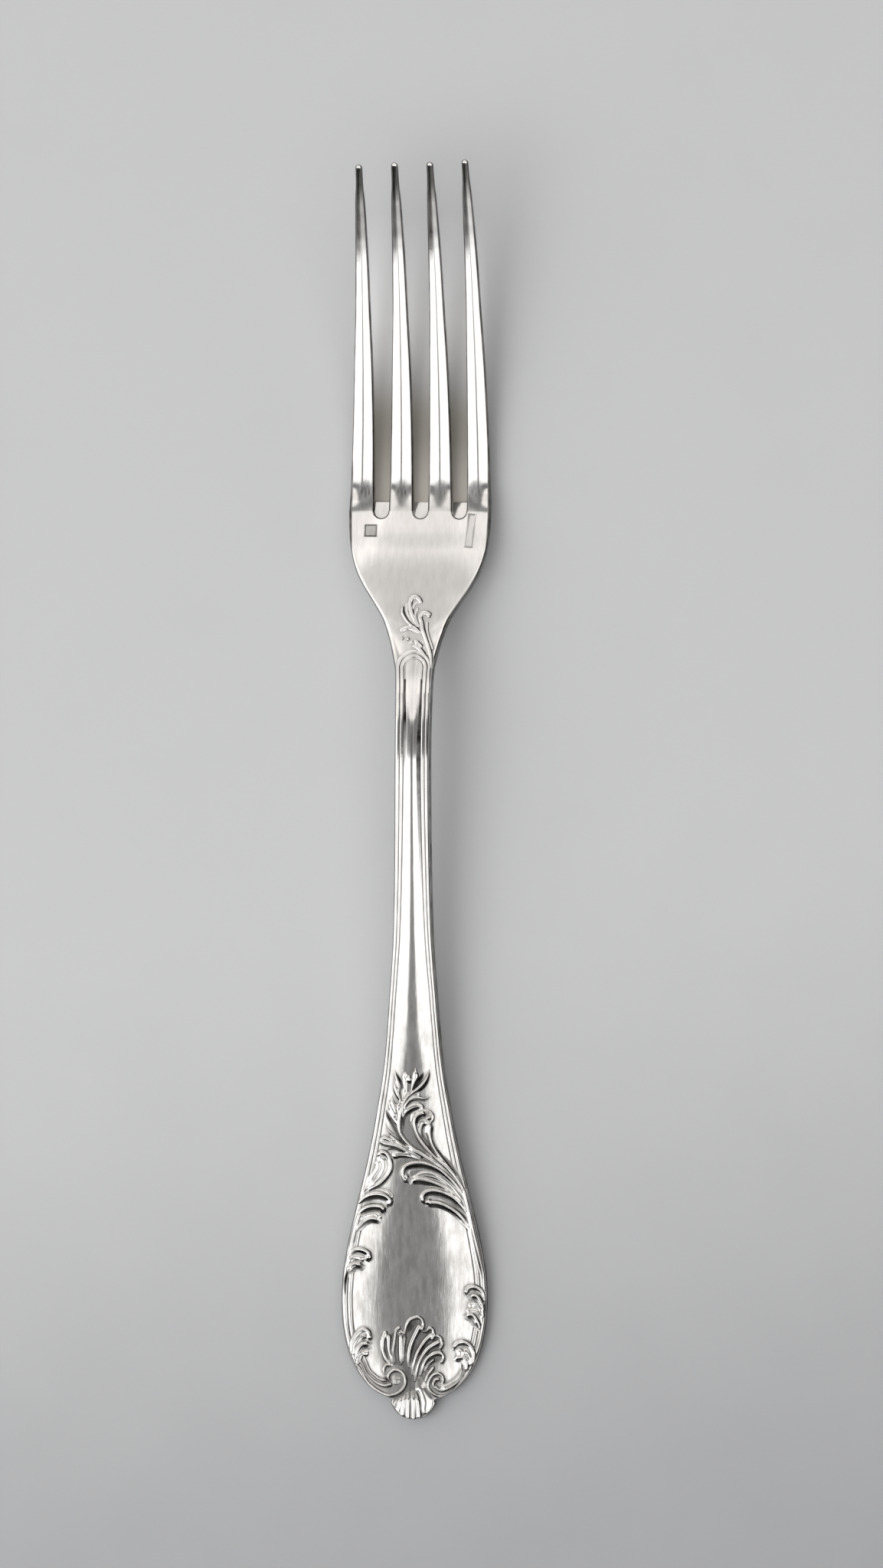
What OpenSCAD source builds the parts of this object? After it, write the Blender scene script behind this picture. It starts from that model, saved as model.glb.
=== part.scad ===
// Dinner fork with four tines, struck in one piece, its handle in the Louis XV manner.
// It lies on its back: the handle's end and the root of the tines rest on the table,
// the neck arches over it and the tips point up. The tines point along +Y.

/* [Handle] */
// Greatest width of the blade, at the handle's end
blade_width = 24.4; // [20:0.1:28]
// Length of the blade, from its end to the stem
blade_length = 62.5; // [55:0.5:70]
// Thickness of the blade in its middle
blade_thickness = 3; // [2.4:0.1:3.6]
// Length of the stem, from the blade to the neck
stem_length = 53.5; // [45:0.5:62]
// Width of the stem where the blade runs into it
stem_root_width = 9.2; // [7.5:0.1:11]
// Least width of the stem
stem_width = 5.9; // [5:0.1:7]
// Width of the band of two threads along each edge of the handle
thread_band = 2; // [1.5:0.05:2.2]

/* [Neck] */
// Length of the neck, from the stem to the root of the tines
neck_length = 21; // [18:0.5:25]
// Thickness of the neck at its crest
neck_thickness = 4.8; // [4:0.1:5.6]
// Height of the neck's middle line over the table, at its crest
neck_height = 9.8; // [7:0.1:13]

/* [Head] */
// Length of the root, from the neck to the bottoms of the slots
root_length = 13.4; // [11:0.2:16]
// Thickness of the root between the slots
root_thickness = 2.7; // [2.2:0.1:3.2]
// Depth of the hollow across the head
dish_depth = 0.8; // [0.3:0.05:1.4]

/* [Tines] */
// Length of the longest tine, from the middle of a slot's round end
tine_length = 57.6; // [48:0.2:64]
// Width of a tine at its root
tine_root_width = 4.1; // [3.4:0.05:4.6]
// Width of a slot at its round end
slot_width = 2.4; // [1.8:0.1:3]
// Distance between the middles of two tines at their tips
tine_tip_pitch = 5.85; // [5.4:0.05:6.6]
// Width of a tine just under its tip
tine_tip_width = 1.1; // [0.8:0.05:1.6]
// Height of the tips' middle line over the table
tip_height = 18.2; // [12:0.2:24]
// Wear of the tines' tips, from the left one to the right one
tine_wear = [0.9, 0.5, 0.4, 0]; // [0:0.1:2]

/* [Ornament] */
// Height of a struck line over the blade
relief_height = 0.55; // [0.3:0.05:0.9]

/* [Blank Punches] */
// Side of the sunk square left of the middle
square_side = 1.9; // [1.5:0.1:2.4]
// Width of the sunk bar right of the middle
bar_width = 1; // [0.7:0.05:1.4]
// Length of the sunk bar
bar_length = 5.6; // [4:0.1:6]
// Depth of the punches
punch_depth = 0.2; // [0.1:0.02:0.3]

/* [Hidden] */

// Places along the fork, from the handle's end, where one stretch runs into the next
neck_start = blade_length + stem_length;
root_start = neck_start + neck_length;
slot_start = root_start + root_length;
fork_length = slot_start + tine_length;
// Place of the neck's crest, as a share of the handle's length
crest_share = 0.965;
crest = crest_share * neck_start;
tine_pitch = tine_root_width + slot_width;
head_width = 4 * tine_root_width + 3 * slot_width;
// Size below which the band of threads narrows with the handle
band_softness = 0.45;

// Outline of the blade's end: share of the blade's length, share of its greatest half-width
blade_end_shares = [[0, 0.08], [0.006, 0.15], [0.016, 0.22], [0.032, 0.28], [0.044, 0.305], [0.052, 0.295],
    [0.058, 0.36], [0.066, 0.46], [0.08, 0.58], [0.1, 0.68], [0.13, 0.79], [0.17, 0.885], [0.22, 0.955],
    [0.27, 0.99], [0.32, 1]];
// Taper of the blade: share of its length, share of what it is wider than the stem's root
blade_taper_shares = [[0.38, 0.974], [0.44, 0.9], [0.5, 0.8], [0.56, 0.684], [0.62, 0.56], [0.69, 0.42],
    [0.76, 0.3], [0.83, 0.195], [0.9, 0.095], [0.95, 0.04], [1, 0]];
// Taper of the stem: share of its length, share of what its root is wider than its least width
stem_taper_shares = [[0.14, 0.64], [0.33, 0.24], [0.52, 0.08], [0.7, 0.02], [0.9, 0]];
// Shoulders: share of the neck's and the root's length, share of what the head is wider than the stem
shoulder_shares = [[0.12, 0.01], [0.23, 0.03], [0.29, 0.075], [0.35, 0.13], [0.41, 0.2], [0.47, 0.29],
    [0.52, 0.4], [0.58, 0.55], [0.64, 0.7], [0.7, 0.82], [0.76, 0.9], [0.82, 0.95], [0.9, 0.985], [1, 1]];

// Height of the middle line: share of the handle's length, share of the neck's height
handle_rise_shares = [[0, 0.035], [0.07, 0], [0.18, 0], [0.3, 0.1], [0.43, 0.27], [0.6, 0.54],
    [0.78, 0.8], [0.905, 0.96]];
// Share of the way from the crest to the slots, share of the neck's height
neck_fall_shares = [[0, 1], [0.21, 0.925], [0.42, 0.7], [0.625, 0.42], [0.83, 0.155], [1, 0]];
// Share of a tine's length, share of the tips' height
tine_rise_shares = [[0.17, 0.03], [0.34, 0.12], [0.51, 0.27], [0.69, 0.48], [0.86, 0.75], [1, 1]];

// Thickness: share of the way to the crest, share of what the neck is thicker than the blade
handle_thickness_shares = [[0, -0.2], [0.03, -0.06], [0.07, 0], [0.19, 0], [0.31, 0.1], [0.45, 0.3],
    [0.62, 0.55], [0.8, 0.8]];
// Share of the way from the crest to the slots, share of what the neck is thicker than the root
neck_thickness_shares = [[0, 1], [0.21, 0.9], [0.42, 0.5], [0.625, 0.18], [0.83, 0.04], [1, 0]];
// Share of a tine's length, share of the root's thickness
tine_thickness_shares = [[0, 1], [0.17, 1.04], [0.4, 1.04], [0.65, 0.9], [0.85, 0.66], [0.96, 0.45],
        [1, 0.3]];
// Share of a tine's length, share of what its root is wider than its tip
tine_taper_shares = [[0, 1], [0.14, 0.91], [0.27, 0.84], [0.43, 0.71], [0.58, 0.5], [0.73, 0.35],
    [0.89, 0.16], [0.97, 0]];
// Width of a tine's rounded tip: share of its length, share of its tip width
tine_tip_shares = [[0.985, 0.92], [0.995, 0.7], [1, 0.4]];
// Places of a tine's rings, as shares of its length
tine_ring_shares = [0, 0.05, 0.1, 0.17, 0.25, 0.34, 0.43, 0.51, 0.6, 0.69, 0.77, 0.86, 0.92, 0.96, 0.985,
    0.995, 1];

// Strength of the threads and of the hollow: share of the neck's and the root's length, share of their size
thread_fade_shares = [[0, 1], [0.14, 1], [0.35, 0], [1, 0]];
dish_shares = [[0, 0], [0.2, 0], [0.35, 0.06], [0.6, 0.5], [1, 1]];

// Half of the handle's panel: share of its half-width, height on the plain head and on the handle,
// both as shares of half the thickness
panel_shares = [[0, 1, 1], [0.35, 1, 0.985], [0.7, 0.995, 0.93], [1, 0.98, 0.84]];
// The band beside it, with an inner thread between two grooves and an outer thread at the edge
band_shares = [[0.14, 0.97, 0.64], [0.38, 0.93, 0.82], [0.6, 0.87, 0.56], [0.82, 0.74, 0.68],
    [0.96, 0.42, 0.36], [1, 0, 0]];
// The back: share of the half-width, depth as a share of half the thickness
back_shares = [[0.985, 0.4], [0.85, 0.8], [0.5, 1], [0, 1]];
// Half of a tine's section: share of its half-width, height as a share of half its thickness
tine_section_shares = [[0, 1], [0.45, 0.95], [0.8, 0.78], [1, 0.35], [1, -0.35], [0.8, -0.78],
    [0.45, -0.95], [0, -1]];

// Lines of the ornament: share of the blade's half-width, share of its length
end_fan_shares = [
    [[-0.11, 0.054], [-0.14, 0.035], [-0.16, 0.014]],
    [[-0.07, 0.058], [-0.07, 0.032], [-0.07, 0.008]],
    [[0.01, 0.062], [0.02, 0.037], [0.02, 0.01]],
    [[0.07, 0.061], [0.1, 0.037], [0.11, 0.016]],
    [[0.04, 0.106], [0.11, 0.078], [0.23, 0.056], [0.24, 0.037], [0.18, 0.024]],
    [[-0.16, 0.058], [-0.24, 0.051], [-0.24, 0.037], [-0.19, 0.024]]
];
base_scroll_left_shares = [
    [[-0.77, 0.141], [-0.67, 0.11], [-0.55, 0.085], [-0.38, 0.069], [-0.23, 0.07], [-0.13, 0.086],
        [-0.12, 0.109], [-0.22, 0.125], [-0.32, 0.115], [-0.29, 0.099]],
    [[-0.67, 0.166], [-0.64, 0.139], [-0.53, 0.112], [-0.41, 0.101]],
    [[-0.74, 0.154], [-0.67, 0.125], [-0.55, 0.098], [-0.39, 0.086]]
];
base_scroll_right_shares = [
    [[0.72, 0.122], [0.62, 0.098], [0.53, 0.084], [0.39, 0.074], [0.28, 0.08], [0.22, 0.096],
        [0.25, 0.115], [0.34, 0.123], [0.41, 0.11], [0.38, 0.098]],
    [[0.63, 0.138], [0.61, 0.118], [0.52, 0.102], [0.45, 0.096]]
];
side_leaf_left_shares = [
    [[-0.84, 0.176], [-0.84, 0.206], [-0.76, 0.23], [-0.67, 0.238], [-0.6, 0.224]],
    [[-0.81, 0.173], [-0.78, 0.198], [-0.71, 0.216], [-0.65, 0.218]],
    [[-0.79, 0.158], [-0.75, 0.179], [-0.7, 0.192], [-0.65, 0.192]]
];
side_leaf_right_shares = [
    [[0.82, 0.157], [0.81, 0.179], [0.76, 0.198], [0.68, 0.208], [0.58, 0.2]],
    [[0.76, 0.15], [0.75, 0.174], [0.69, 0.19], [0.62, 0.192]],
    [[0.71, 0.139], [0.7, 0.157], [0.66, 0.168], [0.61, 0.168]]
];
shell_shares = [
    [[-0.2, 0.141], [-0.32, 0.176], [-0.39, 0.205], [-0.37, 0.224]],
    [[-0.17, 0.144], [-0.24, 0.186], [-0.23, 0.218], [-0.21, 0.238]],
    [[-0.12, 0.144], [-0.11, 0.186], [-0.1, 0.224], [-0.06, 0.259]],
    [[-0.06, 0.138], [-0.05, 0.176], [0, 0.214], [0.09, 0.262]],
    [[0.01, 0.125], [0.04, 0.163], [0.12, 0.198], [0.24, 0.234]],
    [[0.06, 0.118], [0.13, 0.15], [0.24, 0.182], [0.37, 0.211]],
    [[0.1, 0.115], [0.18, 0.141], [0.28, 0.157], [0.39, 0.163]]
];
edge_leaf_right_shares = [
    [[0.94, 0.317], [0.93, 0.334], [0.89, 0.347], [0.81, 0.354], [0.74, 0.349]],
    [[0.93, 0.293], [0.91, 0.31], [0.87, 0.322], [0.81, 0.326]],
    [[0.92, 0.269], [0.89, 0.288], [0.83, 0.298], [0.77, 0.298]],
    [[0.9, 0.246], [0.86, 0.264], [0.81, 0.274], [0.75, 0.275]]
];
edge_leaf_left_shares = [
    [[-0.91, 0.41], [-0.89, 0.43], [-0.8, 0.446], [-0.7, 0.448], [-0.62, 0.435]],
    [[-0.9, 0.39], [-0.86, 0.413], [-0.8, 0.422], [-0.74, 0.424]],
    [[-0.89, 0.438], [-0.85, 0.477], [-0.81, 0.512], [-0.76, 0.547]]
];
plume_left_shares = [
    [[-0.76, 0.576], [-0.64, 0.592], [-0.51, 0.598], [-0.39, 0.595], [-0.31, 0.579]],
    [[-0.78, 0.542], [-0.68, 0.558], [-0.57, 0.565], [-0.43, 0.562]],
    [[-0.8, 0.512], [-0.71, 0.531], [-0.6, 0.539], [-0.5, 0.538]],
    [[-0.73, 0.59], [-0.61, 0.614], [-0.48, 0.63], [-0.38, 0.653], [-0.32, 0.675], [-0.37, 0.698],
        [-0.47, 0.701]],
    [[-0.68, 0.614], [-0.58, 0.64], [-0.51, 0.659], [-0.47, 0.675]]
];
scrolls_right_shares = [
    [[0.93, 0.392], [0.86, 0.448], [0.8, 0.504], [0.73, 0.56], [0.68, 0.608]],
    [[0.71, 0.582], [0.6, 0.618], [0.43, 0.651], [0.25, 0.674], [0.04, 0.68], [-0.11, 0.672],
        [-0.15, 0.653], [-0.07, 0.634], [0.01, 0.64]],
    [[0.75, 0.554], [0.6, 0.586], [0.4, 0.605], [0.24, 0.608], [0.12, 0.595], [0.14, 0.578]],
    [[0.71, 0.531], [0.57, 0.558], [0.4, 0.574], [0.25, 0.576]],
    [[0.65, 0.586], [0.5, 0.616], [0.3, 0.638], [0.12, 0.645]]
];
leaf_spray_shares = [
    [[0.63, 0.634], [0.47, 0.675], [0.24, 0.698], [-0.01, 0.72], [-0.15, 0.746], [-0.2, 0.781],
        [-0.16, 0.819], [-0.08, 0.858], [-0.01, 0.89], [0.01, 0.922]],
    [[0.48, 0.675], [0.3, 0.707], [0.16, 0.73], [0.06, 0.758], [0.02, 0.79], [0.12, 0.811], [0.24, 0.805]],
    [[0.11, 0.698], [-0.09, 0.714], [-0.27, 0.73], [-0.43, 0.738]],
    [[-0.06, 0.73], [-0.2, 0.742], [-0.3, 0.762], [-0.37, 0.778]],
    [[-0.19, 0.771], [-0.29, 0.784], [-0.36, 0.806], [-0.37, 0.829]],
    [[-0.18, 0.803], [-0.25, 0.822], [-0.3, 0.842], [-0.3, 0.867]],
    [[-0.14, 0.835], [-0.19, 0.864], [-0.22, 0.896], [-0.24, 0.922]],
    [[-0.09, 0.858], [-0.11, 0.886], [-0.11, 0.915]],
    [[-0.05, 0.87], [0.07, 0.886], [0.16, 0.902], [0.19, 0.92]],
    [[-0.14, 0.832], [-0.01, 0.851], [0.11, 0.858], [0.22, 0.854]],
    [[-0.16, 0.813], [-0.04, 0.826], [0.06, 0.832], [0.12, 0.83]]
];
// Lines of the neck: share of the stem's half-width, share of the neck's length
neck_arch_shares = [
    [[-0.81, 0.167], [-0.81, 0.333], [-0.75, 0.419], [-0.51, 0.486], [-0.07, 0.519], [0.34, 0.495],
        [0.58, 0.443], [0.71, 0.357], [0.78, 0.167]],
    [[-0.58, 0.238], [-0.58, 0.381], [-0.44, 0.438], [-0.14, 0.457], [0.17, 0.433], [0.34, 0.381],
        [0.44, 0.238]]
];
neck_sprig_shares = [
    [[0.31, 0.681], [-0.07, 0.729], [-0.51, 0.79], [-0.75, 0.852]],
    [[0.2, 0.71], [-0.2, 0.79], [-0.44, 0.857], [-0.51, 0.914]],
    [[0.14, 0.733], [-0.14, 0.81], [-0.27, 0.886], [-0.24, 0.943], [0.03, 0.948], [0.2, 0.924]],
    [[0.31, 0.695], [0.1, 0.762], [0.03, 0.819], [0.14, 0.862]],
    [[0.95, 0.457], [0.78, 0.562], [0.58, 0.657], [0.47, 0.743], [0.27, 0.805], [0.51, 0.829],
        [0.75, 0.805]],
    [[1.02, 0.533], [0.85, 0.61], [0.71, 0.686], [0.61, 0.771]],
    [[0.31, 0.676], [-0.14, 0.7], [-0.54, 0.705], [-0.81, 0.686]],
    [[0.37, 0.657], [-0.2, 0.657], [-0.54, 0.648], [-0.81, 0.633]],
    [[0.47, 0.619], [0.07, 0.619], [-0.24, 0.61], [-0.37, 0.586]],
    [[0.54, 0.519], [0.37, 0.552], [0.1, 0.571], [-0.07, 0.571]]
];

// Level that the lines stand on: share of the half-width, share of half the thickness
seat_shares = [[0, 1], [0.5, 0.97], [0.8, 0.88], [0.95, 0.74], [1, 0.62]];
// How far a struck line reaches down from that level before it is cut off at the surface
relief_root = 0.9;
// Width of a struck line's ridge, as a share of its foot
ridge_share = 0.45;
// Width of a line of the blade: share of the blade's width, share of its length
blade_line_shares = [0.045, 0.0176];
// Width of a line of the neck: share of the stem's width, share of the neck's length
neck_line_shares = [0.15, 0.043];
// Width of a struck line at its end, as a share of its start
line_end_share = 0.6;
// Height of the lines on the neck, as a share of those on the blade
neck_height_share = 0.8;

// Places of the blank punches: share of the head's half-width, share of the root's length
square_shares = [-0.67, 0.74];
bar_shares = [0.72, 0.72];
// Lean of the bar
bar_lean = -5;
// Height that a punch's cut runs on above the surface
overrun = 1;

function mix(a, b, t) = a + (b - a) * t;
function secant(t, i) = (t[i + 1][1] - t[i][1]) / (t[i + 1][0] - t[i][0]);
function slope(t, i) =
    i == 0 ? secant(t, 0)
    : i == len(t) - 1 ? secant(t, i - 1)
    : let (a = secant(t, i - 1), b = secant(t, i)) a * b <= 0 ? 0 : 2 * a * b / (a + b);
function interval(t, s, i = 0) = i < len(t) - 2 && s > t[i + 1][0] ? interval(t, s, i + 1) : i;
// Value at s of the smooth curve through the points of table t, which never overshoots them
function curve(t, s) =
    let (i = interval(t, s), step = t[i + 1][0] - t[i][0], u = (s - t[i][0]) / step)
    t[i][1] * (1 + 2 * u) * pow(1 - u, 2) + slope(t, i) * step * u * pow(1 - u, 2)
    + t[i + 1][1] * u * u * (3 - 2 * u) - slope(t, i + 1) * step * u * u * (1 - u);
// Table of shares turned into places and values: places start at start and run over length
function placed(shares, start, length, low, high) =
    [for (p = shares) [start + p[0] * length, mix(low, high, p[1])]];

shoulder_length = neck_length + root_length;
fall_length = slot_start - crest;
handle_rest = blade_thickness / 2;
head_rest = root_thickness / 2;

width_table = concat(
    placed(blade_end_shares, 0, blade_length, 0, blade_width),
    placed(blade_taper_shares, 0, blade_length, stem_root_width, blade_width),
    placed(stem_taper_shares, blade_length, stem_length, stem_width, stem_root_width),
    placed(shoulder_shares, neck_start, shoulder_length, stem_width, head_width));
height_table = concat(
    placed(handle_rise_shares, 0, neck_start, handle_rest, neck_height),
    placed(neck_fall_shares, crest, fall_length, head_rest, neck_height),
    placed(tine_rise_shares, slot_start, tine_length, head_rest, tip_height));
thickness_table = concat(
    placed(handle_thickness_shares, 0, crest, blade_thickness, neck_thickness),
    placed(neck_thickness_shares, crest, fall_length, root_thickness, neck_thickness));
thread_table = placed(thread_fade_shares, neck_start, shoulder_length, 0, 1);
dish_table = placed(dish_shares, neck_start, shoulder_length, 0, dish_depth);

function half_width(s) = curve(width_table, s) / 2;
function half_thickness(s) = curve(thickness_table, s) / 2;
function threads(s) = s < neck_start ? 1 : curve(thread_table, s);
function hollow(x, s) =
    s < neck_start ? 0 : curve(dish_table, min(s, slot_start)) * pow(2 * x / head_width, 2);
function middle(x, s) = curve(height_table, s) + hollow(x, s);

// Right half of the top from the middle to the edge: distance from the middle, height over the middle line
function top_half(s) =
    let (w = half_width(s), h = half_thickness(s), band = thread_band * w / (w + band_softness),
        panel = w - band, on = threads(s))
    concat(
        [for (p = panel_shares) [panel * p[0], h * mix(p[1], p[2], on)]],
        [for (p = band_shares) [panel + band * p[0], h * mix(p[1], p[2], on)]]);
function back_half(s) = [for (p = back_shares) [half_width(s) * p[0], -half_thickness(s) * p[1]]];
function place(x, s, rise) = [x, s - fork_length / 2, middle(x, s) + rise];
// Ring of points from the middle of the top, over the right edge, and back up on the left
function ring(half, s, x = 0) = concat(
    [for (p = half) place(x + p[0], s, p[1])],
    [for (i = [len(half) - 2 : -1 : 1]) place(x - half[i][0], s, half[i][1])]);
function handle_ring(s) = ring(concat(top_half(s), back_half(s)), s);
// Height of the top at a place
function top(x, s) = middle(x, s) + lookup(abs(x), top_half(s));
// Height of the level that the struck lines stand on
function seat(x, s) = middle(x, s) + half_thickness(s) * lookup(abs(x) / half_width(s), seat_shares);
function evenly(from, to, count) = [for (i = [0 : count]) mix(from, to, i / count)];

// Solid through rings that all have their lowest middle point at the same index
module loft(rings, low) {
    n = len(rings[0]);
    last = len(rings) - 1;
    sides = [for (i = [0 : last - 1], j = [0 : n - 1])
        let (a = i * n + j, b = i * n + (j + 1) % n) each [[a, a + n, b + n], [a, b + n, b]]];
    near = [for (k = [1 : n - 2]) [low, (low + k) % n, (low + k + 1) % n]];
    far = [for (f = near) [for (k = [2 : -1 : 0]) f[k] + last * n]];
    polyhedron([for (r = rings) each r], concat(sides, near, far), convexity = 10);
}

module handle_loft(places) {
    loft([for (s = places) handle_ring(s)], len(top_half(0)) + len(back_shares) - 1);
}

module blade_solid() {
    handle_loft([for (p = concat(blade_end_shares, blade_taper_shares)) p[0] * blade_length]);
}

module neck_solid() {
    handle_loft(evenly(neck_start, root_start, 14));
}

// Box sunk into the root's surface at a place given as shares, turned with the slope there
module punch(shares, width, length, lean) {
    x = shares[0] * head_width / 2;
    s = root_start + shares[1] * root_length;
    fall = (top(x, s + length / 2) - top(x, s - length / 2)) / length;
    translate([x, s - fork_length / 2, top(x, s)])
        rotate([atan(fall), 0, lean])
            translate([-width / 2, -length / 2, -punch_depth])
                cube([width, length, punch_depth + overrun]);
}

// One of the four tines, counted from the left, from the middle of the slots' round ends to its tip
module tine(index) {
    reach = tine_length - tine_wear[index];
    rank = index - 1.5;
    taper = concat(placed(tine_taper_shares, 0, 1, tine_tip_width, tine_root_width),
        placed(tine_tip_shares, 0, 1, 0, tine_tip_width));
    thickness = placed(tine_thickness_shares, 0, 1, 0, root_thickness);
    rings = [for (share = tine_ring_shares)
        let (half = [curve(taper, share), curve(thickness, share)] / 2)
        ring([for (p = tine_section_shares) [p[0] * half[0], p[1] * half[1]]],
            slot_start + share * reach, rank * mix(tine_pitch, tine_tip_pitch, share))];
    loft(rings, len(tine_section_shares) - 1);
}

// Low dome that stands on the surface, the unit that a struck line is drawn with
module bead(x, s, size, rise) {
    translate([x, s - fork_length / 2, seat(x, s) - relief_root])
        scale([size[0], size[1], relief_root + rise])
            cylinder(h = 1, d1 = 1, d2 = ridge_share, $fn = 8);
}

// Struck line through points that are shares of half a width and of a length from start
module line(points, width, start, length, shares, rise) {
    last = len(points) - 1;
    size = [width * shares[0], length * shares[1]];
    for (i = [0 : last - 1])
        hull()
            for (k = [i, i + 1])
                bead(points[k][0] * width / 2, start + points[k][1] * length,
                    size * mix(1, line_end_share, k / last), rise);
}

module blade_lines(lines) {
    for (points = lines)
        line(points, blade_width, 0, blade_length, blade_line_shares, relief_height);
}

module neck_lines(lines) {
    rise = relief_height * neck_height_share;
    for (points = lines)
        line(points, stem_width, neck_start, neck_length, neck_line_shares, rise);
}

blade_ornament = [end_fan_shares, base_scroll_left_shares, base_scroll_right_shares, side_leaf_left_shares,
    side_leaf_right_shares, shell_shares, edge_leaf_right_shares, edge_leaf_left_shares, plume_left_shares,
    scrolls_right_shares, leaf_spray_shares];

// One group of the ornament, cut off at the blade's surface and where an earlier group lies
module ornament(rank) {
    color("gainsboro")
        difference() {
            blade_lines(blade_ornament[rank]);
            blade_solid();
            for (i = [0 : 1 : rank - 1])
                blade_lines(blade_ornament[i]);
        }
}

module blade() {
    color("silver")
        blade_solid();
}

module stem() {
    color("silver")
        handle_loft(evenly(blade_length, neck_start, 14));
}

module neck() {
    color("silver")
        neck_solid();
}

module root() {
    color("silver")
        difference() {
            handle_loft(evenly(root_start, slot_start, 8));
            for (rank = [-1 : 1])
                translate([rank * tine_pitch, slot_start - fork_length / 2, -overrun])
                    cylinder(h = neck_height + overrun, d = slot_width, $fn = 48);
            punch(square_shares, square_side, square_side, 0);
            punch(bar_shares, bar_width, bar_length, bar_lean);
        }
}

module tine_outer_left() {
    color("silver")
        tine(0);
}

module tine_inner_left() {
    color("silver")
        tine(1);
}

module tine_inner_right() {
    color("silver")
        tine(2);
}

module tine_outer_right() {
    color("silver")
        tine(3);
}

module neck_arch() {
    color("gainsboro")
        difference() {
            neck_lines(neck_arch_shares);
            neck_solid();
        }
}

module neck_sprig() {
    color("gainsboro")
        difference() {
            neck_lines(neck_sprig_shares);
            neck_solid();
            neck_lines(neck_arch_shares);
        }
}

blade();
stem();
neck();
root();
tine_outer_left();
tine_inner_left();
tine_inner_right();
tine_outer_right();
ornament(0);  // end_fan
ornament(1);  // base_scroll_left
ornament(2);  // base_scroll_right
ornament(3);  // side_leaf_left
ornament(4);  // side_leaf_right
ornament(5);  // shell
ornament(6);  // edge_leaf_right
ornament(7);  // edge_leaf_left
ornament(8);  // plume_left
ornament(9);  // scrolls_right
ornament(10);  // leaf_spray
neck_arch();
neck_sprig();
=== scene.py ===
"""Dinner fork struck in one piece and silver plated, its handle in the rocaille manner.

Lengths in the tables are shares, as in the part's source, or millimetres where a comment says so.
Blender works in metres. The fork lies on its back with its tines along +Y.
"""

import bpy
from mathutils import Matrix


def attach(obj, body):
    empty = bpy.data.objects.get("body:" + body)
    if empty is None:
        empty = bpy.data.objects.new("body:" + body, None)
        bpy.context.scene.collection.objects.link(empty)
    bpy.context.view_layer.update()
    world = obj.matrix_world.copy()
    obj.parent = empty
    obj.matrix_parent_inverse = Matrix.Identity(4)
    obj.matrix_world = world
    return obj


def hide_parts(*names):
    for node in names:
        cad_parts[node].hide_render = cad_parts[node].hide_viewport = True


bl_info = {
    "name": "Dinner fork",
    "version": (1, 0, 0),
    "blender": (4, 5, 0),
    "location": "3D View > Sidebar > Fork",
    "description": "Builds a silver-plated dinner fork with struck rocaille relief around its packed frame",
    "category": "Object",
}

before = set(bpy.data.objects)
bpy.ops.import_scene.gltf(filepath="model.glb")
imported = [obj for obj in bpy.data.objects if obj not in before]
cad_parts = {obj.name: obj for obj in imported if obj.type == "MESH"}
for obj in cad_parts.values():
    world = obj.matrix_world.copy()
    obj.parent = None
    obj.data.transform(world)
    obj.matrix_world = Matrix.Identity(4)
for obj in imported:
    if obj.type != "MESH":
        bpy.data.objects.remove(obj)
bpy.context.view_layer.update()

import functools
import math

import bpy
import numpy as np
from bpy.props import FloatProperty, FloatVectorProperty, PointerProperty
from mathutils import Euler, Vector

MM = 0.001
MICRON = 0.001  # mm, left free so that the dressed fork stays inside the solids' box

# Tables of the fork's form

# Outline of the blade's end: share of the blade's length, share of its greatest half-width
BLADE_END = [[0, 0.08], [0.006, 0.15], [0.016, 0.22], [0.032, 0.28], [0.044, 0.305], [0.052, 0.295],
             [0.058, 0.36], [0.066, 0.46], [0.08, 0.58], [0.1, 0.68], [0.13, 0.79], [0.17, 0.885],
             [0.22, 0.955], [0.27, 0.99], [0.32, 1]]
# Taper of the blade: share of its length, share of what it is wider than the stem's root
BLADE_TAPER = [[0.38, 0.974], [0.44, 0.9], [0.5, 0.8], [0.56, 0.684], [0.62, 0.56], [0.69, 0.42],
               [0.76, 0.3], [0.83, 0.195], [0.9, 0.095], [0.95, 0.04], [1, 0]]
STEM_TAPER = [[0.14, 0.64], [0.33, 0.24], [0.52, 0.08], [0.7, 0.02], [0.9, 0]]
# Shoulders: share of the neck's and the root's length, share of what the head is wider than the stem
SHOULDERS = [[0.12, 0.01], [0.23, 0.03], [0.29, 0.075], [0.35, 0.13], [0.41, 0.2], [0.47, 0.29],
             [0.52, 0.4], [0.58, 0.55], [0.64, 0.7], [0.7, 0.82], [0.76, 0.9], [0.82, 0.95],
             [0.9, 0.985], [1, 1]]
# Height of the middle line over the table
HANDLE_RISE = [[0, 0.035], [0.07, 0], [0.18, 0], [0.3, 0.1], [0.43, 0.27], [0.6, 0.54], [0.78, 0.8],
               [0.905, 0.96]]
NECK_FALL = [[0, 1], [0.21, 0.925], [0.42, 0.7], [0.625, 0.42], [0.83, 0.155], [1, 0]]
TINE_RISE = [[0.17, 0.03], [0.34, 0.12], [0.51, 0.27], [0.69, 0.48], [0.86, 0.75], [1, 1]]
# Thickness along the handle, the neck and the tines, and width along the tines
HANDLE_THICKNESS = [[0, -0.2], [0.03, -0.06], [0.07, 0], [0.19, 0], [0.31, 0.1], [0.45, 0.3],
                    [0.62, 0.55], [0.8, 0.8]]
NECK_THICKNESS = [[0, 1], [0.21, 0.9], [0.42, 0.5], [0.625, 0.18], [0.83, 0.04], [1, 0]]
TINE_THICKNESS = [[0, 1], [0.17, 1.04], [0.4, 1.04], [0.65, 0.9], [0.85, 0.66], [0.96, 0.45],
                  [1, 0.4]]
TINE_TAPER = [[0, 1], [0.07, 0.93], [0.14, 0.87], [0.27, 0.78], [0.43, 0.65], [0.58, 0.46], [0.73, 0.34],
              [0.89, 0.16], [0.97, 0], [1, 0]]
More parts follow.
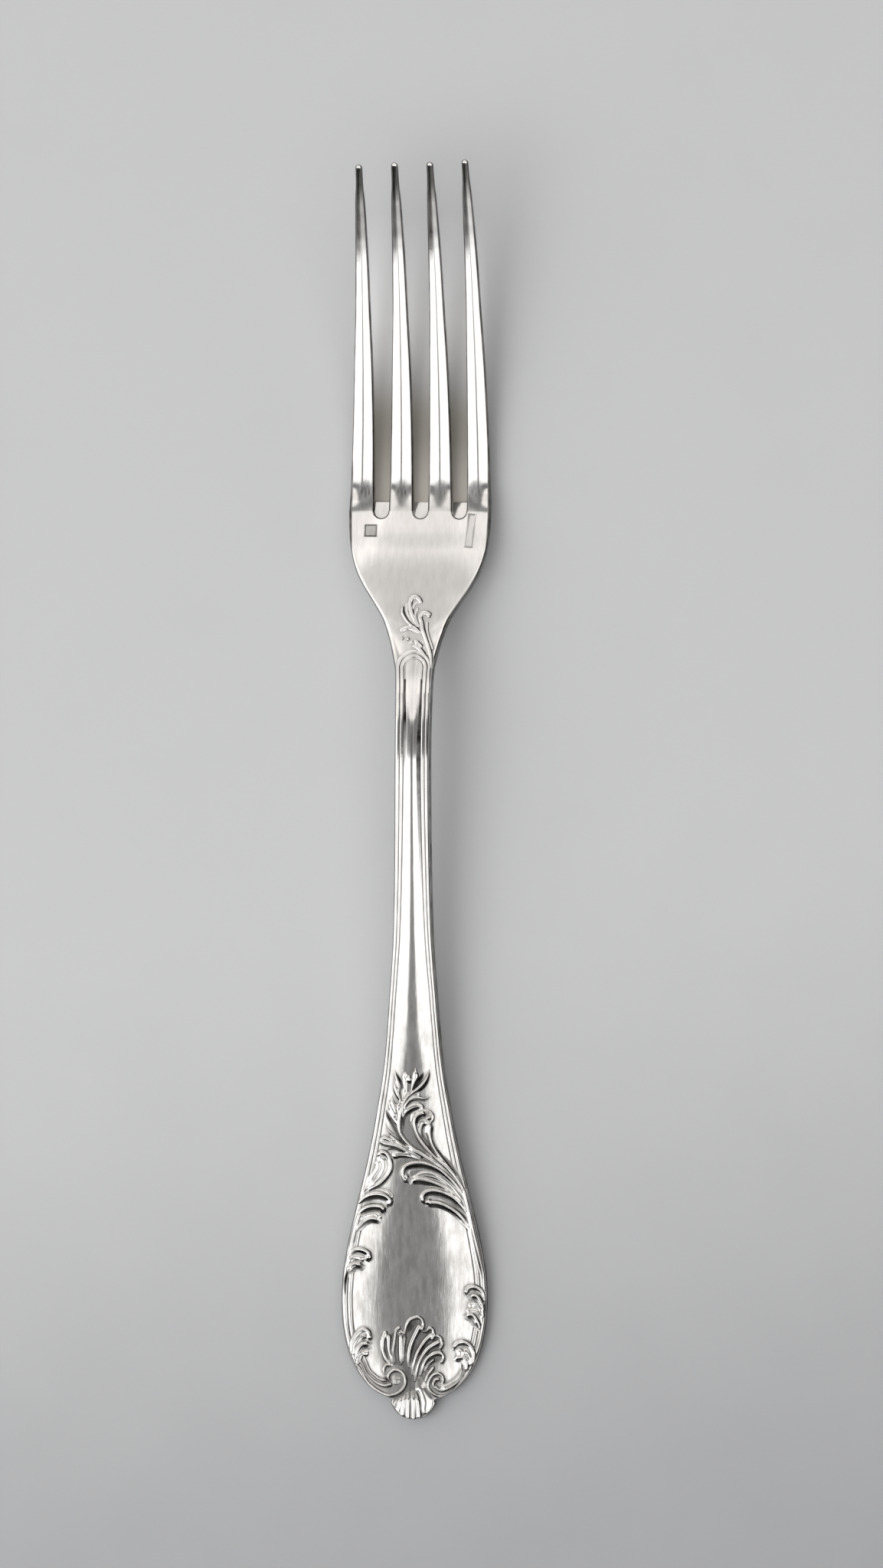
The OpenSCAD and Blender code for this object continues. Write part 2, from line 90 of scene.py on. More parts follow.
# Depth of the hollow across the head, along the shoulders
DISH = [[0, 0], [0.2, 0], [0.35, 0.06], [0.6, 0.5], [1, 1]]
# Share of the way to the neck where the handle is highest
CREST_SHARE = 0.965

# Depth of the handle's panel at its edge, in mm: place along the fork, depth of the crown
CROWN = [[0, 0.3], [10, 0.42], [22, 0.48], [36, 0.45], [46, 0.31], [57, 0.24], [67, 0.31], [82, 0.28],
         [100, 0.25], [116, 0.21], [130, 0.12], [140, 0.03], [149.5, 0]]
# Width of the band of threads beside it, in mm
BAND = [[0, 2.3], [25, 2.3], [35, 2.1], [45, 1.8], [61, 1.45], [70, 1.4], [80, 1.5], [100, 1.75],
        [112, 1.92], [124, 2.15], [137, 2.15]]
# Section of the band: share of its width from the panel to the edge, depth under the panel's edge in mm
THREADS = [[0, 0], [0.09, 0.03], [0.16, 0.15], [0.23, 0.05], [0.34, 0], [0.45, 0.04], [0.52, 0.16],
           [0.59, 0.05], [0.7, 0.02], [0.84, 0.13], [0.93, 0.36], [0.98, 0.66], [1, 0.92]]

# How far the front stands off its evenly thick form: place past the neck's start, height in mm
CREST_FILL = [[-9.5, 0], [-8, -0.01], [-7, -0.04], [-6, -0.08], [-5, -0.117], [-4, -0.142], [-3, -0.153],
              [-2, -0.15], [-1, -0.132], [0, -0.108], [1, -0.098], [14, 0]]
# How far the front of the tines sinks under it: place past the slots' ends, depth in mm
SINK = [[-3, 0], [-1, 0.03], [1.1, 0.18], [3.1, 0.31], [5.1, 0.41], [7.6, 0.47], [12, 0.48], [28, 0.4],
        [57.6, 0]]
# The arch of the neck, in mm: where its round end has its middle past the neck's start, over how much the
# straight threads run into it, and how high they stand over the plate at its start and further on
ARCH_MIDDLE, ARCH_TURN = 8.45, 3.0
ARCH_LIFT, ARCH_CLIMB = 0.024, 0.1
# Slope of the two facets of a tine's front
ROOF = 0.135
END_RING = 0.004  # mm between a piece's end and the ring that keeps its shading straight up to there

# The threads begin over the first run and end over the second, counted from the neck's start, in mm
THREADS_BEGIN, THREADS_END = (8.5, 12), (2, 7)
GROOVES_END = 0.6  # share of the band that the two grooves take
BAND_LIMIT = 0.62  # greatest share of the fork's half-width that the band takes
THREADS_FULL = 1.3  # mm of half-thickness under which the threads get shallower
# The end lobe is crowned as if its panel were this wide, in mm, and that fades over the run
LOBE_ARCH, LOBE_FADE = 6.5, (8, 14)
# The blade thins towards its end from this place, in mm, by this share, and dips at the very end
THIN_FROM, THIN_SHARE, END_DIP = 22, 0.022, 0.25
# Radius of the fork's upper edge at the slots, and what it gains away from them and from the handle's end
EDGE_RADIUS, EDGE_RADIUS_GAIN = 0.3, 0.5

# Wedges of painted shade beside the panel at the crest: where each begins before the neck's start, its
# distance from the middle there and further on, and where both end past the neck's start, in mm
WEDGE_RIGHT, WEDGE_LEFT, WEDGE_INNER, WEDGE_SPREAD, WEDGE_END = -30.0, -9.0, 0.72, 0.5, 6.5
WEDGE_BAND = 0.17  # share of the threads' band that they cover

# Share of dark in the grooves of the threads, along the fork's edge and round the slots' ends, in the
# wedges, in scoops, and in the creases of the blade's relief and of the neck's: tarnish and painted shade in
# the grooves, scoops and creases, painted shade alone along the edge, round the slots' ends and in the wedges
GROOVE_TARNISH_AND_SHADE, EDGE_SHADE, WEDGE_SHADE, SCOOP_TARNISH_AND_SHADE = 0.75, 0.85, 0.95, 0.85
CREASE_TARNISH_AND_SHADE, NECK_CREASE_TARNISH_AND_SHADE = 0.45, 0.3
# Width of the edge's dark line of painted shade at the handle's end, what it gains along the handle and
# beside the slots, and how soft it is, in mm
EDGE_LINE, EDGE_LINE_HANDLE, EDGE_LINE_HEAD, EDGE_LINE_SOFT = 0.1, 0.09, 0.26, 0.07
# A crease is a place this far under its surroundings' mean within the radius, in mm
CREASE_DEPTH, CREASE_RADIUS = 0.05, 0.22

SLOT_FLOOR_RUN = 1.5  # mm that the bevelled end of a slot runs on at the back
SLOT_LIP = 0.6  # mm of upright wall over the bevel
SLOT_EDGE = 0.16  # mm of rounding round the slots' ends
ROOT_WARP = 4.5  # mm before the slots' ends over which the rows bend to follow them
NO_SLOT = 0.02  # mm: columns whose slot is shallower than this lie between the slots

# Blank punches: place across as a share of the head's half-width, place along as a share of the root, half
# sizes in mm, lean in degrees, and how dark the floor is
PUNCHES = ((-0.69, 0.755, 0.95, 0.95, 0.0, 0.42), (0.72, 0.76, 0.6, 2.75, 5.0, 0.16))
PUNCH_LEFT = 0.6  # share of their depth that wear has left
PUNCH_OUTLINE = 0.15  # mm: width of the dark line round each

# The struck ornament: drawn lines, each a style and points in mm across and along

# Style: reach to the left and to the right of the line's crest, and its height, in mm
STYLES = {
    "rib": (0.7, 0.7, 0.3),
    "fine": (0.42, 0.42, 0.18),
    "vein": (0.6, 0.6, 0.42),
    "leaf": (0.66, 0.66, 0.32),
    "bead": (0.6, 0.6, 0.4),
    "boss": (1.05, 1.05, 0.46),
    "scoop_left": (1.35, 0.5, 0.5),
    "scoop_right": (0.5, 1.35, 0.5),
    "lip_left": (0.95, 0.46, 0.38),
    "lip_right": (0.46, 0.95, 0.38),
    "tip_right": (0.42, 0.8, 0.36),
    "rim": (0.36, 0.36, 0.3),
    "flute": (0.52, 0.52, 0.38),
    "bulb": (0.8, 0.8, 0.22),
    "lobe": (1.1, 1.1, 0.26),
}
# Styles whose lines end in a point, and styles that are domed all round
POINTED = ("leaf", "vein", "tip_right")
DOMED = ("bead", "boss", "bulb", "lobe")
WIDE_SIDE = 0.75  # mm of reach over which a line's side is a slope or a scoop

ORNAMENT = {
    "end_fan": [
        ("rim", [(-2.3, 3.6), (-2.75, 2.6), (-2.95, 1.9)]),
        ("flute", [(-1.65, 3.8), (-2.0, 2.4), (-2.3, 1.2)]),
        ("flute", [(-1.0, 4.3), (-1.2, 3.0), (-1.45, 0.8)]),
        ("flute", [(-0.45, 4.6), (-0.5, 2.6), (-0.55, 0.4)]),
        ("flute", [(0.2, 4.7), (0.4, 2.6), (0.4, 0.25)]),
        ("flute", [(0.75, 4.6), (1.1, 2.8), (1.3, 0.5)]),
        ("lobe", [(1.2, 6.6), (1.7, 5.2), (2.2, 4.0), (2.5, 2.9), (2.4, 1.9)]),
        ("rim", [(-3.4, 2.9), (-3.1, 2.0), (-2.5, 1.25), (-1.7, 0.7)]),
    ],
    "base_scroll_left": [
        ("rim", [(-9.3, 9.0), (-8.4, 8.0), (-7.4, 6.25), (-6.3, 5.2), (-5.0, 4.35), (-3.8, 3.95),
                 (-2.85, 4.1), (-2.0, 4.55), (-1.35, 5.2), (-1.0, 6.05), (-1.05, 6.9), (-1.5, 7.7),
                 (-2.2, 8.1), (-3.0, 8.1), (-3.6, 7.7), (-3.9, 7.05), (-3.75, 6.5)]),
        ("bulb", [(-2.8, 6.9), (-2.5, 6.4)]),
        ("rim", [(-8.9, 10.3), (-8.0, 8.4), (-7.3, 7.3), (-6.4, 6.4), (-5.3, 5.75), (-4.3, 5.55),
                 (-3.5, 5.8)]),
        ("rim", [(-8.1, 10.6), (-7.65, 9.4), (-7.1, 8.1), (-6.2, 7.2), (-5.2, 6.55), (-4.4, 6.45)]),
        ("rim", [(-4.6, 7.4), (-4.65, 8.3), (-4.3, 8.9), (-3.7, 9.0)]),
    ],
    "base_scroll_right": [
        ("rim", [(9.5, 8.2), (8.5, 6.5), (7.6, 5.4), (6.5, 4.5), (5.3, 3.95), (4.45, 3.95), (3.6, 4.4),
                 (2.95, 5.15), (2.85, 6.05), (3.25, 7.05), (3.9, 7.6), (4.65, 7.6), (5.2, 7.15),
                 (5.3, 6.55), (5.05, 6.0)]),
        ("rim", [(3.8, 5.2), (3.6, 6.0), (4.0, 6.7), (4.5, 6.75)]),
        ("rim", [(8.8, 8.3), (8.4, 7.2), (7.4, 6.0), (6.35, 5.35), (5.3, 4.95), (4.65, 4.95), (4.2, 5.35)]),
        ("bead", [(5.1, 5.6), (5.3, 5.4)]),
        ("rim", [(8.3, 9.4), (8.2, 8.1), (7.45, 6.85), (6.4, 6.05), (5.6, 5.7)]),
    ],
    "side_leaf_left": [
        ("lip_right", [(-10.3, 10.9), (-10.0, 12.7), (-9.2, 14.1), (-8.2, 14.8), (-7.3, 14.5),
                       (-6.95, 13.6)]),
        ("rib", [(-9.7, 10.9), (-9.4, 12.4), (-8.6, 13.6), (-7.7, 13.9)]),
        ("scoop_right", [(-9.4, 9.9), (-9.1, 11.3), (-8.4, 12.3), (-7.6, 12.5)]),
        ("rib", [(-9.0, 9.3), (-8.8, 10.4), (-8.2, 11.0), (-7.8, 10.9)]),
    ],
    "side_leaf_right": [
        ("lip_left", [(10.4, 9.7), (10.3, 11.2), (9.7, 12.4), (8.7, 12.95), (7.7, 12.8), (7.15, 12.3)]),
        ("boss", [(8.6, 11.6), (8.3, 11.2)]),
        ("rib", [(9.6, 9.4), (9.45, 10.6), (8.9, 11.5)]),
        ("lip_left", [(9.2, 8.6), (9.05, 9.8), (8.5, 10.5), (7.7, 10.4)]),
    ],
    "shell": [
        ("flute", [(-3.3, 8.9), (-4.2, 9.9), (-4.75, 11.4), (-4.85, 12.9), (-4.4, 14.2)]),
        ("flute", [(-3.0, 9.2), (-3.6, 10.7), (-3.85, 12.2), (-3.8, 13.6)]),
        ("rim", [(-2.7, 9.6), (-3.05, 11.2), (-2.95, 12.4), (-2.8, 13.6), (-2.6, 14.7), (-2.1, 15.2)]),
        ("flute", [(-1.75, 9.2), (-1.85, 11.4), (-1.8, 13.6)]),
        ("rim", [(-1.35, 9.6), (-1.25, 11.8), (-1.05, 13.5)]),
        ("rim", [(-2.2, 14.0), (-1.8, 14.5), (-1.2, 14.2)]),
        ("flute", [(-0.45, 8.7), (-0.55, 9.9), (-0.4, 11.4), (0.05, 12.9), (0.6, 14.1), (1.25, 15.4)]),
        ("rim", [(-1.05, 14.1), (-0.95, 15.2), (-0.5, 16.3), (0.15, 16.75), (1.0, 16.95), (1.65, 16.6),
                 (1.95, 15.85), (1.7, 15.0)]),
        ("flute", [(0.15, 7.5), (0.35, 9.0), (0.8, 10.5), (1.45, 11.8), (2.3, 13.1), (3.2, 14.0)]),
        ("rim", [(1.7, 14.6), (2.3, 14.6), (2.9, 15.15), (3.5, 14.95), (3.7, 14.1), (3.4, 13.4)]),
        ("flute", [(0.6, 6.4), (0.8, 7.7), (1.25, 9.4), (1.9, 10.7), (2.75, 11.8), (3.6, 12.4),
                   (4.4, 12.85)]),
        ("rim", [(3.6, 13.7), (4.2, 13.9), (4.85, 13.5), (5.1, 12.6), (4.75, 11.9)]),
        ("flute", [(1.5, 7.4), (1.9, 9.0), (2.5, 10.1), (3.4, 10.8), (4.2, 11.1), (4.9, 11.0)]),
        ("rim", [(4.5, 11.3), (5.1, 10.95), (5.3, 10.3), (5.0, 9.6)]),
        ("rim", [(2.3, 8.0), (2.75, 9.2), (3.6, 9.95)]),
        ("rim", [(2.3, 6.3), (2.75, 7.5), (3.6, 8.6)]),
    ],
    "edge_leaf_right": [
        ("lip_left", [(12.1, 19.8), (11.9, 21.0), (11.2, 21.8), (10.2, 22.15), (9.3, 21.9), (9.0, 21.3)]),
        ("scoop_left", [(11.9, 18.4), (11.5, 19.6), (10.9, 20.5), (10.3, 20.7)]),
        ("rib", [(11.8, 17.2), (11.3, 18.5), (10.6, 19.1), (9.9, 19.1)]),
        ("rib", [(11.6, 16.2), (11.1, 17.5), (10.4, 18.1), (9.6, 18.1)]),
        ("scoop_left", [(11.3, 15.3), (10.8, 16.6), (10.2, 17.4), (9.6, 17.5)]),
    ],
    "edge_leaf_left": [
        ("lip_right", [(-10.9, 26.6), (-10.3, 27.5), (-9.3, 28.1), (-8.2, 28.0), (-7.3, 27.5), (-7.1, 26.8)]),
        ("bead", [(-7.6, 26.9), (-7.4, 26.8)]),
        ("rib", [(-10.9, 25.4), (-10.2, 26.4), (-9.3, 26.8), (-8.6, 26.6)]),
        ("scoop_right", [(-10.9, 23.9), (-10.5, 25.0), (-9.7, 25.6), (-8.8, 25.6)]),
        ("lip_right", [(-10.5, 27.4), (-10.0, 29.8), (-9.5, 31.9), (-8.9, 33.8)]),
    ],
    "plume_left": [
        ("scoop_right", [(-9.0, 35.9), (-7.4, 37.0), (-5.8, 37.3), (-4.4, 37.0), (-3.6, 36.3), (-3.7, 35.8)]),
        ("fine", [(-7.2, 37.5), (-5.6, 37.9), (-4.2, 37.8), (-3.4, 37.0)]),
        ("bead", [(-3.9, 36.3), (-3.8, 36.1)]),
        ("scoop_right", [(-9.1, 33.9), (-7.9, 34.9), (-6.5, 35.3), (-5.2, 35.2), (-4.8, 34.9)]),
        ("bead", [(-5.1, 34.8), (-4.9, 34.7)]),
        ("rib", [(-9.3, 32.2), (-8.5, 33.2), (-7.4, 33.7), (-6.2, 33.9), (-5.7, 33.6)]),
        ("lip_right", [(-9.8, 30.5), (-9.1, 31.8), (-8.0, 32.8), (-6.8, 33.3), (-5.9, 33.2)]),
        ("lip_left", [(-8.6, 36.6), (-7.1, 38.1), (-5.5, 39.0), (-4.2, 40.3), (-3.5, 41.6), (-3.6, 43.0),
                      (-4.2, 44.0), (-5.0, 44.3), (-5.5, 43.9)]),
        ("rib", [(-8.2, 37.4), (-6.8, 38.8), (-5.4, 40.2), (-4.6, 41.6), (-4.7, 42.8), (-5.2, 43.2)]),
        ("rib", [(-7.6, 38.8), (-6.5, 40.3), (-5.6, 41.6), (-5.6, 42.4)]),
    ],
    "scrolls_right": [
        ("lip_left", [(11.6, 24.5), (10.9, 28.0), (10.1, 31.5), (9.4, 35.0), (8.7, 38.0)]),
        ("scoop_left", [(9.2, 36.2), (8.1, 38.0), (6.4, 40.0), (4.5, 41.6), (2.4, 42.4), (0.6, 42.5),
                        (-0.9, 42.1), (-1.5, 41.3), (-1.5, 40.4), (-1.1, 39.7)]),
        ("bead", [(-1.1, 40.4), (-1.0, 40.2)]),
        ("bead", [(0.5, 40.0), (0.7, 39.95)]),
        ("rib", [(0.5, 40.2), (2.0, 40.7), (4.0, 40.4), (6.0, 39.1), (7.6, 37.4), (8.9, 35.3)]),
        ("lip_left", [(9.9, 32.4), (8.9, 34.9), (7.3, 37.0), (5.5, 38.5), (3.5, 39.4), (1.6, 39.8),
                      (0.6, 39.8)]),
        ("scoop_left", [(9.6, 33.6), (8.5, 35.3), (7.0, 36.8), (5.2, 37.7), (3.6, 38.0), (2.4, 37.8),
                        (1.75, 37.1), (1.8, 36.4)]),
        ("bead", [(2.5, 36.3), (2.7, 36.15)]),
        ("lip_left", [(9.8, 31.4), (8.8, 33.0), (7.6, 34.3), (6.1, 35.3), (4.5, 35.9), (3.2, 36.0)]),
    ],
    "leaf_spray": [
        ("vein", [(8.6, 36.9), (6.7, 39.7), (4.6, 42.0), (2.0, 43.8), (0.2, 44.8), (-1.2, 46.2),
                  (-2.0, 47.6), (-2.1, 49.0), (-1.9, 50.4), (-1.5, 52.0), (-0.6, 53.6), (0.2, 55.2),
                  (0.35, 57.6)]),
        ("scoop_right", [(8.6, 37.8), (7.4, 39.9), (5.8, 41.8), (4.0, 43.4), (2.3, 45.2), (1.2, 46.8),
                         (0.5, 48.6), (0.5, 49.6), (1.0, 50.4), (1.9, 50.8)]),
        ("fine", [(-0.1, 49.4), (0.2, 50.35), (1.0, 50.95), (2.0, 51.15), (2.9, 51.0), (3.4, 50.5),
                  (3.45, 49.9), (3.1, 49.5)]),
        ("bead", [(2.85, 50.25), (2.9, 50.1)]),
        ("lip_left", [(8.7, 38.2), (7.4, 40.2), (5.8, 42.2), (4.1, 44.4), (3.2, 46.2), (3.0, 47.6),
                      (3.1, 48.6)]),
        ("leaf", [(2.6, 43.4), (0.2, 44.4), (-1.8, 45.8), (-3.2, 47.1), (-4.0, 48.1), (-4.4, 49.1)]),
        ("lip_right", [(1.9, 43.3), (-0.5, 44.3), (-2.6, 45.3), (-4.2, 45.6), (-5.0, 45.9), (-5.0, 46.4),
                       (-4.4, 46.6), (-3.4, 46.2)]),
        ("rib", [(1.2, 43.3), (-0.6, 43.9), (-2.0, 44.0), (-2.8, 43.8)]),
        ("rib", [(2.4, 44.9), (1.6, 46.3), (1.25, 47.6), (1.35, 48.8), (1.8, 49.4), (2.3, 49.3)]),
        ("leaf", [(-1.8, 48.3), (-2.5, 49.4), (-3.3, 50.4), (-4.1, 51.2)]),
        ("leaf", [(-2.0, 49.2), (-2.8, 50.5), (-3.5, 51.8), (-3.9, 53.0)]),
        ("leaf", [(-2.1, 49.6), (-2.6, 51.0), (-3.1, 52.4), (-3.2, 53.7)]),
        ("leaf", [(-2.1, 50.0), (-2.15, 51.4), (-1.95, 52.9)]),
        ("leaf", [(-1.5, 52.6), (-2.2, 54.0), (-2.7, 55.2), (-3.0, 56.2)]),
        ("leaf", [(-1.3, 53.2), (-1.9, 55.2), (-2.4, 56.6), (-2.8, 58.0)]),
        ("fine", [(-1.2, 53.4), (-0.95, 54.8), (-0.95, 55.9), (-1.15, 56.7), (-1.0, 57.2)]),
        ("bead", [(-0.35, 56.8), (-0.35, 56.3)]),
        ("leaf", [(0.3, 55.2), (0.7, 56.6), (0.75, 57.6), (0.7, 58.3)]),
        ("tip_right", [(-0.8, 53.2), (0.4, 54.35), (1.5, 55.3), (2.2, 56.1), (2.7, 57.0), (2.95, 58.2)]),
        ("fine", [(-1.2, 52.0), (-0.6, 53.1), (0.2, 53.75), (1.1, 53.95)]),
        ("tip_right", [(-1.5, 50.4), (-1.2, 51.6), (-0.6, 52.6), (0.2, 53.2), (1.2, 53.4), (2.2, 53.3),
                       (3.3, 53.6)]),
        ("rib", [(-1.3, 50.1), (-0.8, 51.0), (0.0, 51.7), (0.8, 51.95), (1.5, 51.7)]),
    ],
    "neck_sprig": [
        ("lip_right", [(0.7, 130.3), (0.0, 130.95), (-0.7, 131.4), (-1.4, 132.0), (-2.0, 132.8),
                       (-2.4, 133.6), (-2.4, 134.2)]),
        ("fine", [(-0.1, 131.4), (-0.9, 132.4), (-1.5, 133.6), (-1.7, 134.9)]),
        ("rib", [(0.2, 131.4), (-0.4, 132.6), (-0.9, 134.0), (-1.1, 135.2), (-0.8, 136.0), (-0.2, 136.2),
                 (0.4, 135.8), (0.6, 135.4)]),
        ("fine", [(-0.7, 133.9), (-0.4, 134.8), (0.1, 135.3)]),
        ("fine", [(0.5, 131.3), (0.05, 132.4), (-0.1, 133.4), (0.2, 134.2)]),
        ("rib", [(2.9, 124.4), (2.7, 126.2), (2.3, 127.8), (1.75, 129.4), (1.2, 130.8), (1.0, 131.9),
                 (0.7, 132.8), (1.0, 133.4), (1.6, 133.6), (2.2, 133.3)]),
        ("fine", [(3.0, 127.6), (2.4, 129.2), (2.0, 130.6), (1.9, 131.9)]),
        ("bead", [(1.9, 133.1), (2.1, 133.0)]),
        ("rib", [(0.7, 130.2), (-0.3, 130.8), (-1.4, 131.0), (-2.3, 130.7)]),
        ("bead", [(-2.3, 129.3), (-2.2, 129.3)]),
        ("bead", [(-1.3, 129.4), (-1.2, 129.2)]),
        ("fine", [(-1.1, 128.4), (-0.5, 128.7)]),
        ("rib", [(0.0, 128.9), (0.5, 128.5), (1.0, 128.1)]),
        ("rib", [(-0.2, 128.0), (0.4, 127.9), (1.0, 127.4), (1.5, 126.8)]),
    ],
}
# Hollows between the leaves: half-width in the middle in mm, share of tarnish and painted shade, points in mm
HOLLOWS = {
    "leaf_spray": [
        (0.38, 1.0, [(-4.3, 51.3), (-3.9, 50.1), (-3.3, 49.1), (-2.7, 48.0), (-2.1, 46.9), (-1.2, 45.8),
                     (0.0, 44.9)]),
        (0.2, 1.0, [(-3.9, 47.5), (-2.9, 46.8), (-1.9, 46.0), (-0.9, 45.2)]),
        (0.26, 1.0, [(-4.4, 44.5), (-3.0, 44.85), (-2.0, 44.6), (-1.1, 44.2)]),
        (0.36, 1.0, [(-1.3, 47.6), (-1.35, 49.2), (-0.95, 50.3), (-0.2, 51.0), (0.6, 51.4), (1.5, 51.6)]),
        (0.26, 1.0, [(0.9, 49.0), (1.1, 49.9), (1.7, 50.35), (2.3, 50.2)]),
        (0.17, 1.0, [(0.1, 48.8), (0.35, 47.6), (0.8, 46.5), (1.5, 45.5), (2.4, 44.5), (3.4, 43.6)]),
        (0.25, 1.0, [(2.4, 47.6), (2.8, 46.6), (3.1, 45.6), (3.6, 44.6), (4.4, 43.6)]),
        (0.32, 1.0, [(-1.6, 52.8), (-1.85, 54.0), (-1.7, 55.2), (-1.9, 56.2), (-2.5, 57.3)]),
        (0.5, 1.0, [(0.2, 54.5), (0.9, 55.6), (1.5, 56.5), (2.0, 57.5)]),
        (0.2, 1.0, [(-1.1, 51.5), (-0.3, 52.55), (0.6, 52.9), (1.5, 52.95), (2.4, 52.7)]),
        (0.13, 1.0, [(-1.5, 51.6), (-1.0, 52.6), (-0.3, 53.45), (0.6, 54.1), (1.7, 54.5)]),
    ],
    "scrolls_right": [
        (0.2, 1.0, [(11.7, 23.5), (11.1, 26.2), (10.4, 29.2), (9.7, 32.0)]),
    ],
    "edge_leaf_left": [
        (0.28, 1.0, [(-11.2, 20.5), (-11.2, 22.4), (-10.9, 24.0), (-10.2, 25.2), (-9.2, 25.5)]),
    ],
    "shell": [
        (0.6, 0.9, [(-0.8, 14.3), (-0.1, 15.5), (0.9, 16.3)]),
        (0.3, 0.75, [(1.6, 14.2), (0.9, 12.8), (0.3, 11.2), (0.1, 9.2)]),
        (0.3, 0.75, [(3.2, 13.5), (2.1, 12.2), (1.3, 10.8), (0.8, 9.2), (0.5, 7.8)]),
        (0.3, 0.75, [(4.4, 12.2), (3.2, 11.5), (2.1, 10.2), (1.5, 8.8), (1.1, 7.3)]),
        (0.28, 0.7, [(4.2, 10.6), (3.0, 9.9), (2.3, 8.7)]),
        (0.3, 0.7, [(-0.85, 13.8), (-0.95, 11.8), (-0.95, 9.7)]),
        (0.28, 0.6, [(-2.3, 14.0), (-2.35, 11.8), (-2.2, 9.8)]),
        (0.25, 0.5, [(-4.3, 13.4), (-4.2, 11.4), (-3.6, 9.8)]),
    ],
    "base_scroll_left": [
        (0.42, 0.4, [(-8.6, 9.2), (-7.9, 7.6), (-6.6, 6.0), (-5.2, 5.1), (-3.8, 4.75), (-2.6, 5.0),
                     (-1.9, 5.9)]),
        (0.3, 0.3, [(-7.9, 9.4), (-7.2, 7.8), (-6.2, 6.8), (-5.0, 6.15)]),
        (0.22, 0.9, [(-4.7, 6.7), (-4.2, 6.75), (-3.6, 6.0)]),
        (0.25, 0.6, [(-3.3, 7.5), (-3.6, 6.8), (-3.2, 6.1)]),
    ],
    "base_scroll_right": [
        (0.36, 0.4, [(8.9, 7.6), (7.6, 5.9), (6.2, 4.75), (4.8, 4.35), (3.6, 4.9), (3.2, 6.0), (3.6, 6.9)]),
        (0.25, 0.6, [(4.1, 5.7), (4.4, 6.2), (4.9, 6.2)]),
    ],
    "end_fan": [
        (0.3, 0.5, [(-2.3, 4.4), (-1.2, 5.0), (0.0, 5.3)]),
        (0.3, 0.45, [(0.8, 4.8), (1.2, 4.4), (1.5, 3.2)]),
    ],
}
# Beds between the ribs, evenly dark with tarnish and painted shade: share of that dark and outline in mm
BEDS = {
    "shell": [
        (0.72, [(-4.6, 13.9), (-3.4, 14.2), (-2.4, 15.0), (-1.2, 14.3), (-0.9, 15.6), (0.2, 16.8),
                (1.5, 16.7), (1.8, 15.1), (2.9, 15.2), (3.6, 14.2), (4.6, 13.7), (5.0, 12.5), (4.7, 11.6),
                (5.2, 10.6), (4.6, 9.6), (3.6, 9.2), (2.5, 7.0), (1.6, 5.6), (0.4, 4.9), (-1.4, 5.2),
                (-0.9, 7.2), (-1.6, 8.7), (-3.2, 9.0), (-4.3, 10.4), (-4.8, 12.2)]),
    ],
    "base_scroll_left": [
        (0.42, [(-9.2, 9.6), (-8.0, 7.2), (-6.4, 5.3), (-4.9, 4.4), (-3.4, 4.0), (-2.0, 4.6), (-1.2, 5.8),
                (-1.6, 7.4), (-2.6, 8.0), (-3.6, 7.5), (-4.5, 6.6), (-6.0, 7.0), (-7.2, 8.4), (-8.3, 10.4)]),
    ],
    "base_scroll_right": [
        (0.42, [(9.2, 8.4), (8.0, 6.0), (6.6, 4.6), (5.0, 4.0), (3.6, 4.5), (3.0, 6.0), (3.6, 7.3),
                (4.6, 7.5), (5.3, 6.7), (5.8, 5.9), (7.2, 6.8), (8.2, 8.6)]),
    ],
    "end_fan": [
        (0.6, [(-3.4, 3.2), (-2.4, 4.0), (-1.2, 5.0), (0.4, 5.2), (1.0, 4.6), (1.6, 3.0), (1.8, 0.8),
               (0.0, 0.2), (-2.0, 0.9)]),
    ],
}
NECK_GROUPS = ("neck_arch", "neck_sprig")
BLADE_GROUPS = tuple(name for name in ORNAMENT if name not in NECK_GROUPS)
# The drawing's middle lies this far right of the blade's, and of the neck's, in mm
BLADE_OFFSET = 0.3
NECK_OFFSET = -0.05
# Spacing of the relief's grid on the blade and on the neck, and the softness that striking leaves, in mm
RELIEF_GRID, NECK_GRID = 0.08, 0.05
STRIKE_SOFTNESS = 0.09
# Height and width of the sprig's lines against the blade's
NECK_RELIEF_SHARE, NECK_LINE_SHARE = 0.62, 0.6
NECK_HALF_SPAN = 8.0  # mm
DRAWN_HEIGHT = 0.55  # mm of relief that the styles' heights were drawn for
HOLLOW_DEPTH = 0.14  # mm
RELIEF_BED = 0.5  # mm under the surface where a struck group is rooted
RELIEF_FOOT = 0.15  # mm that its underside lies deeper still
RELIEF_MARGIN = 0.12  # mm that it keeps from the fork's edge and from its own bed


# Curves

def curve(table, place):
    """Value at each place of the smooth curve through a table's points, which never overshoots them."""
    points = np.asarray(table, float)
    key, value = points[:, 0], points[:, 1]
    step = np.diff(key)
    secant = np.diff(value) / step
    slope = np.empty(len(key))
    slope[0], slope[-1] = secant[0], secant[-1]
    before, after = secant[:-1], secant[1:]
    same = before * after > 0
    slope[1:-1] = np.where(same, 2 * before * after / np.where(same, before + after, 1), 0)
    place = np.clip(np.asarray(place, float), key[0], key[-1])
    i = np.clip(np.searchsorted(key, place, side="left") - 1, 0, len(key) - 2)
    u = (place - key[i]) / step[i]
    return (value[i] * (1 + 2 * u) * (1 - u) ** 2 + slope[i] * step[i] * u * (1 - u) ** 2
            + value[i + 1] * u * u * (3 - 2 * u) - slope[i + 1] * step[i] * u * u * (1 - u))


def placed(shares, start, length, low, high):
    """Table in mm from one of shares, for a stretch of the fork and a range of values."""
    return [[start + a * length, low + (high - low) * b] for a, b in shares]


def smooth_step(value, low, high):
    """0 up to the low bound, 1 from the high one, and soft between them."""
    t = np.clip((np.asarray(value, float) - low) / (high - low), 0, 1)
    return t * t * (3 - 2 * t)


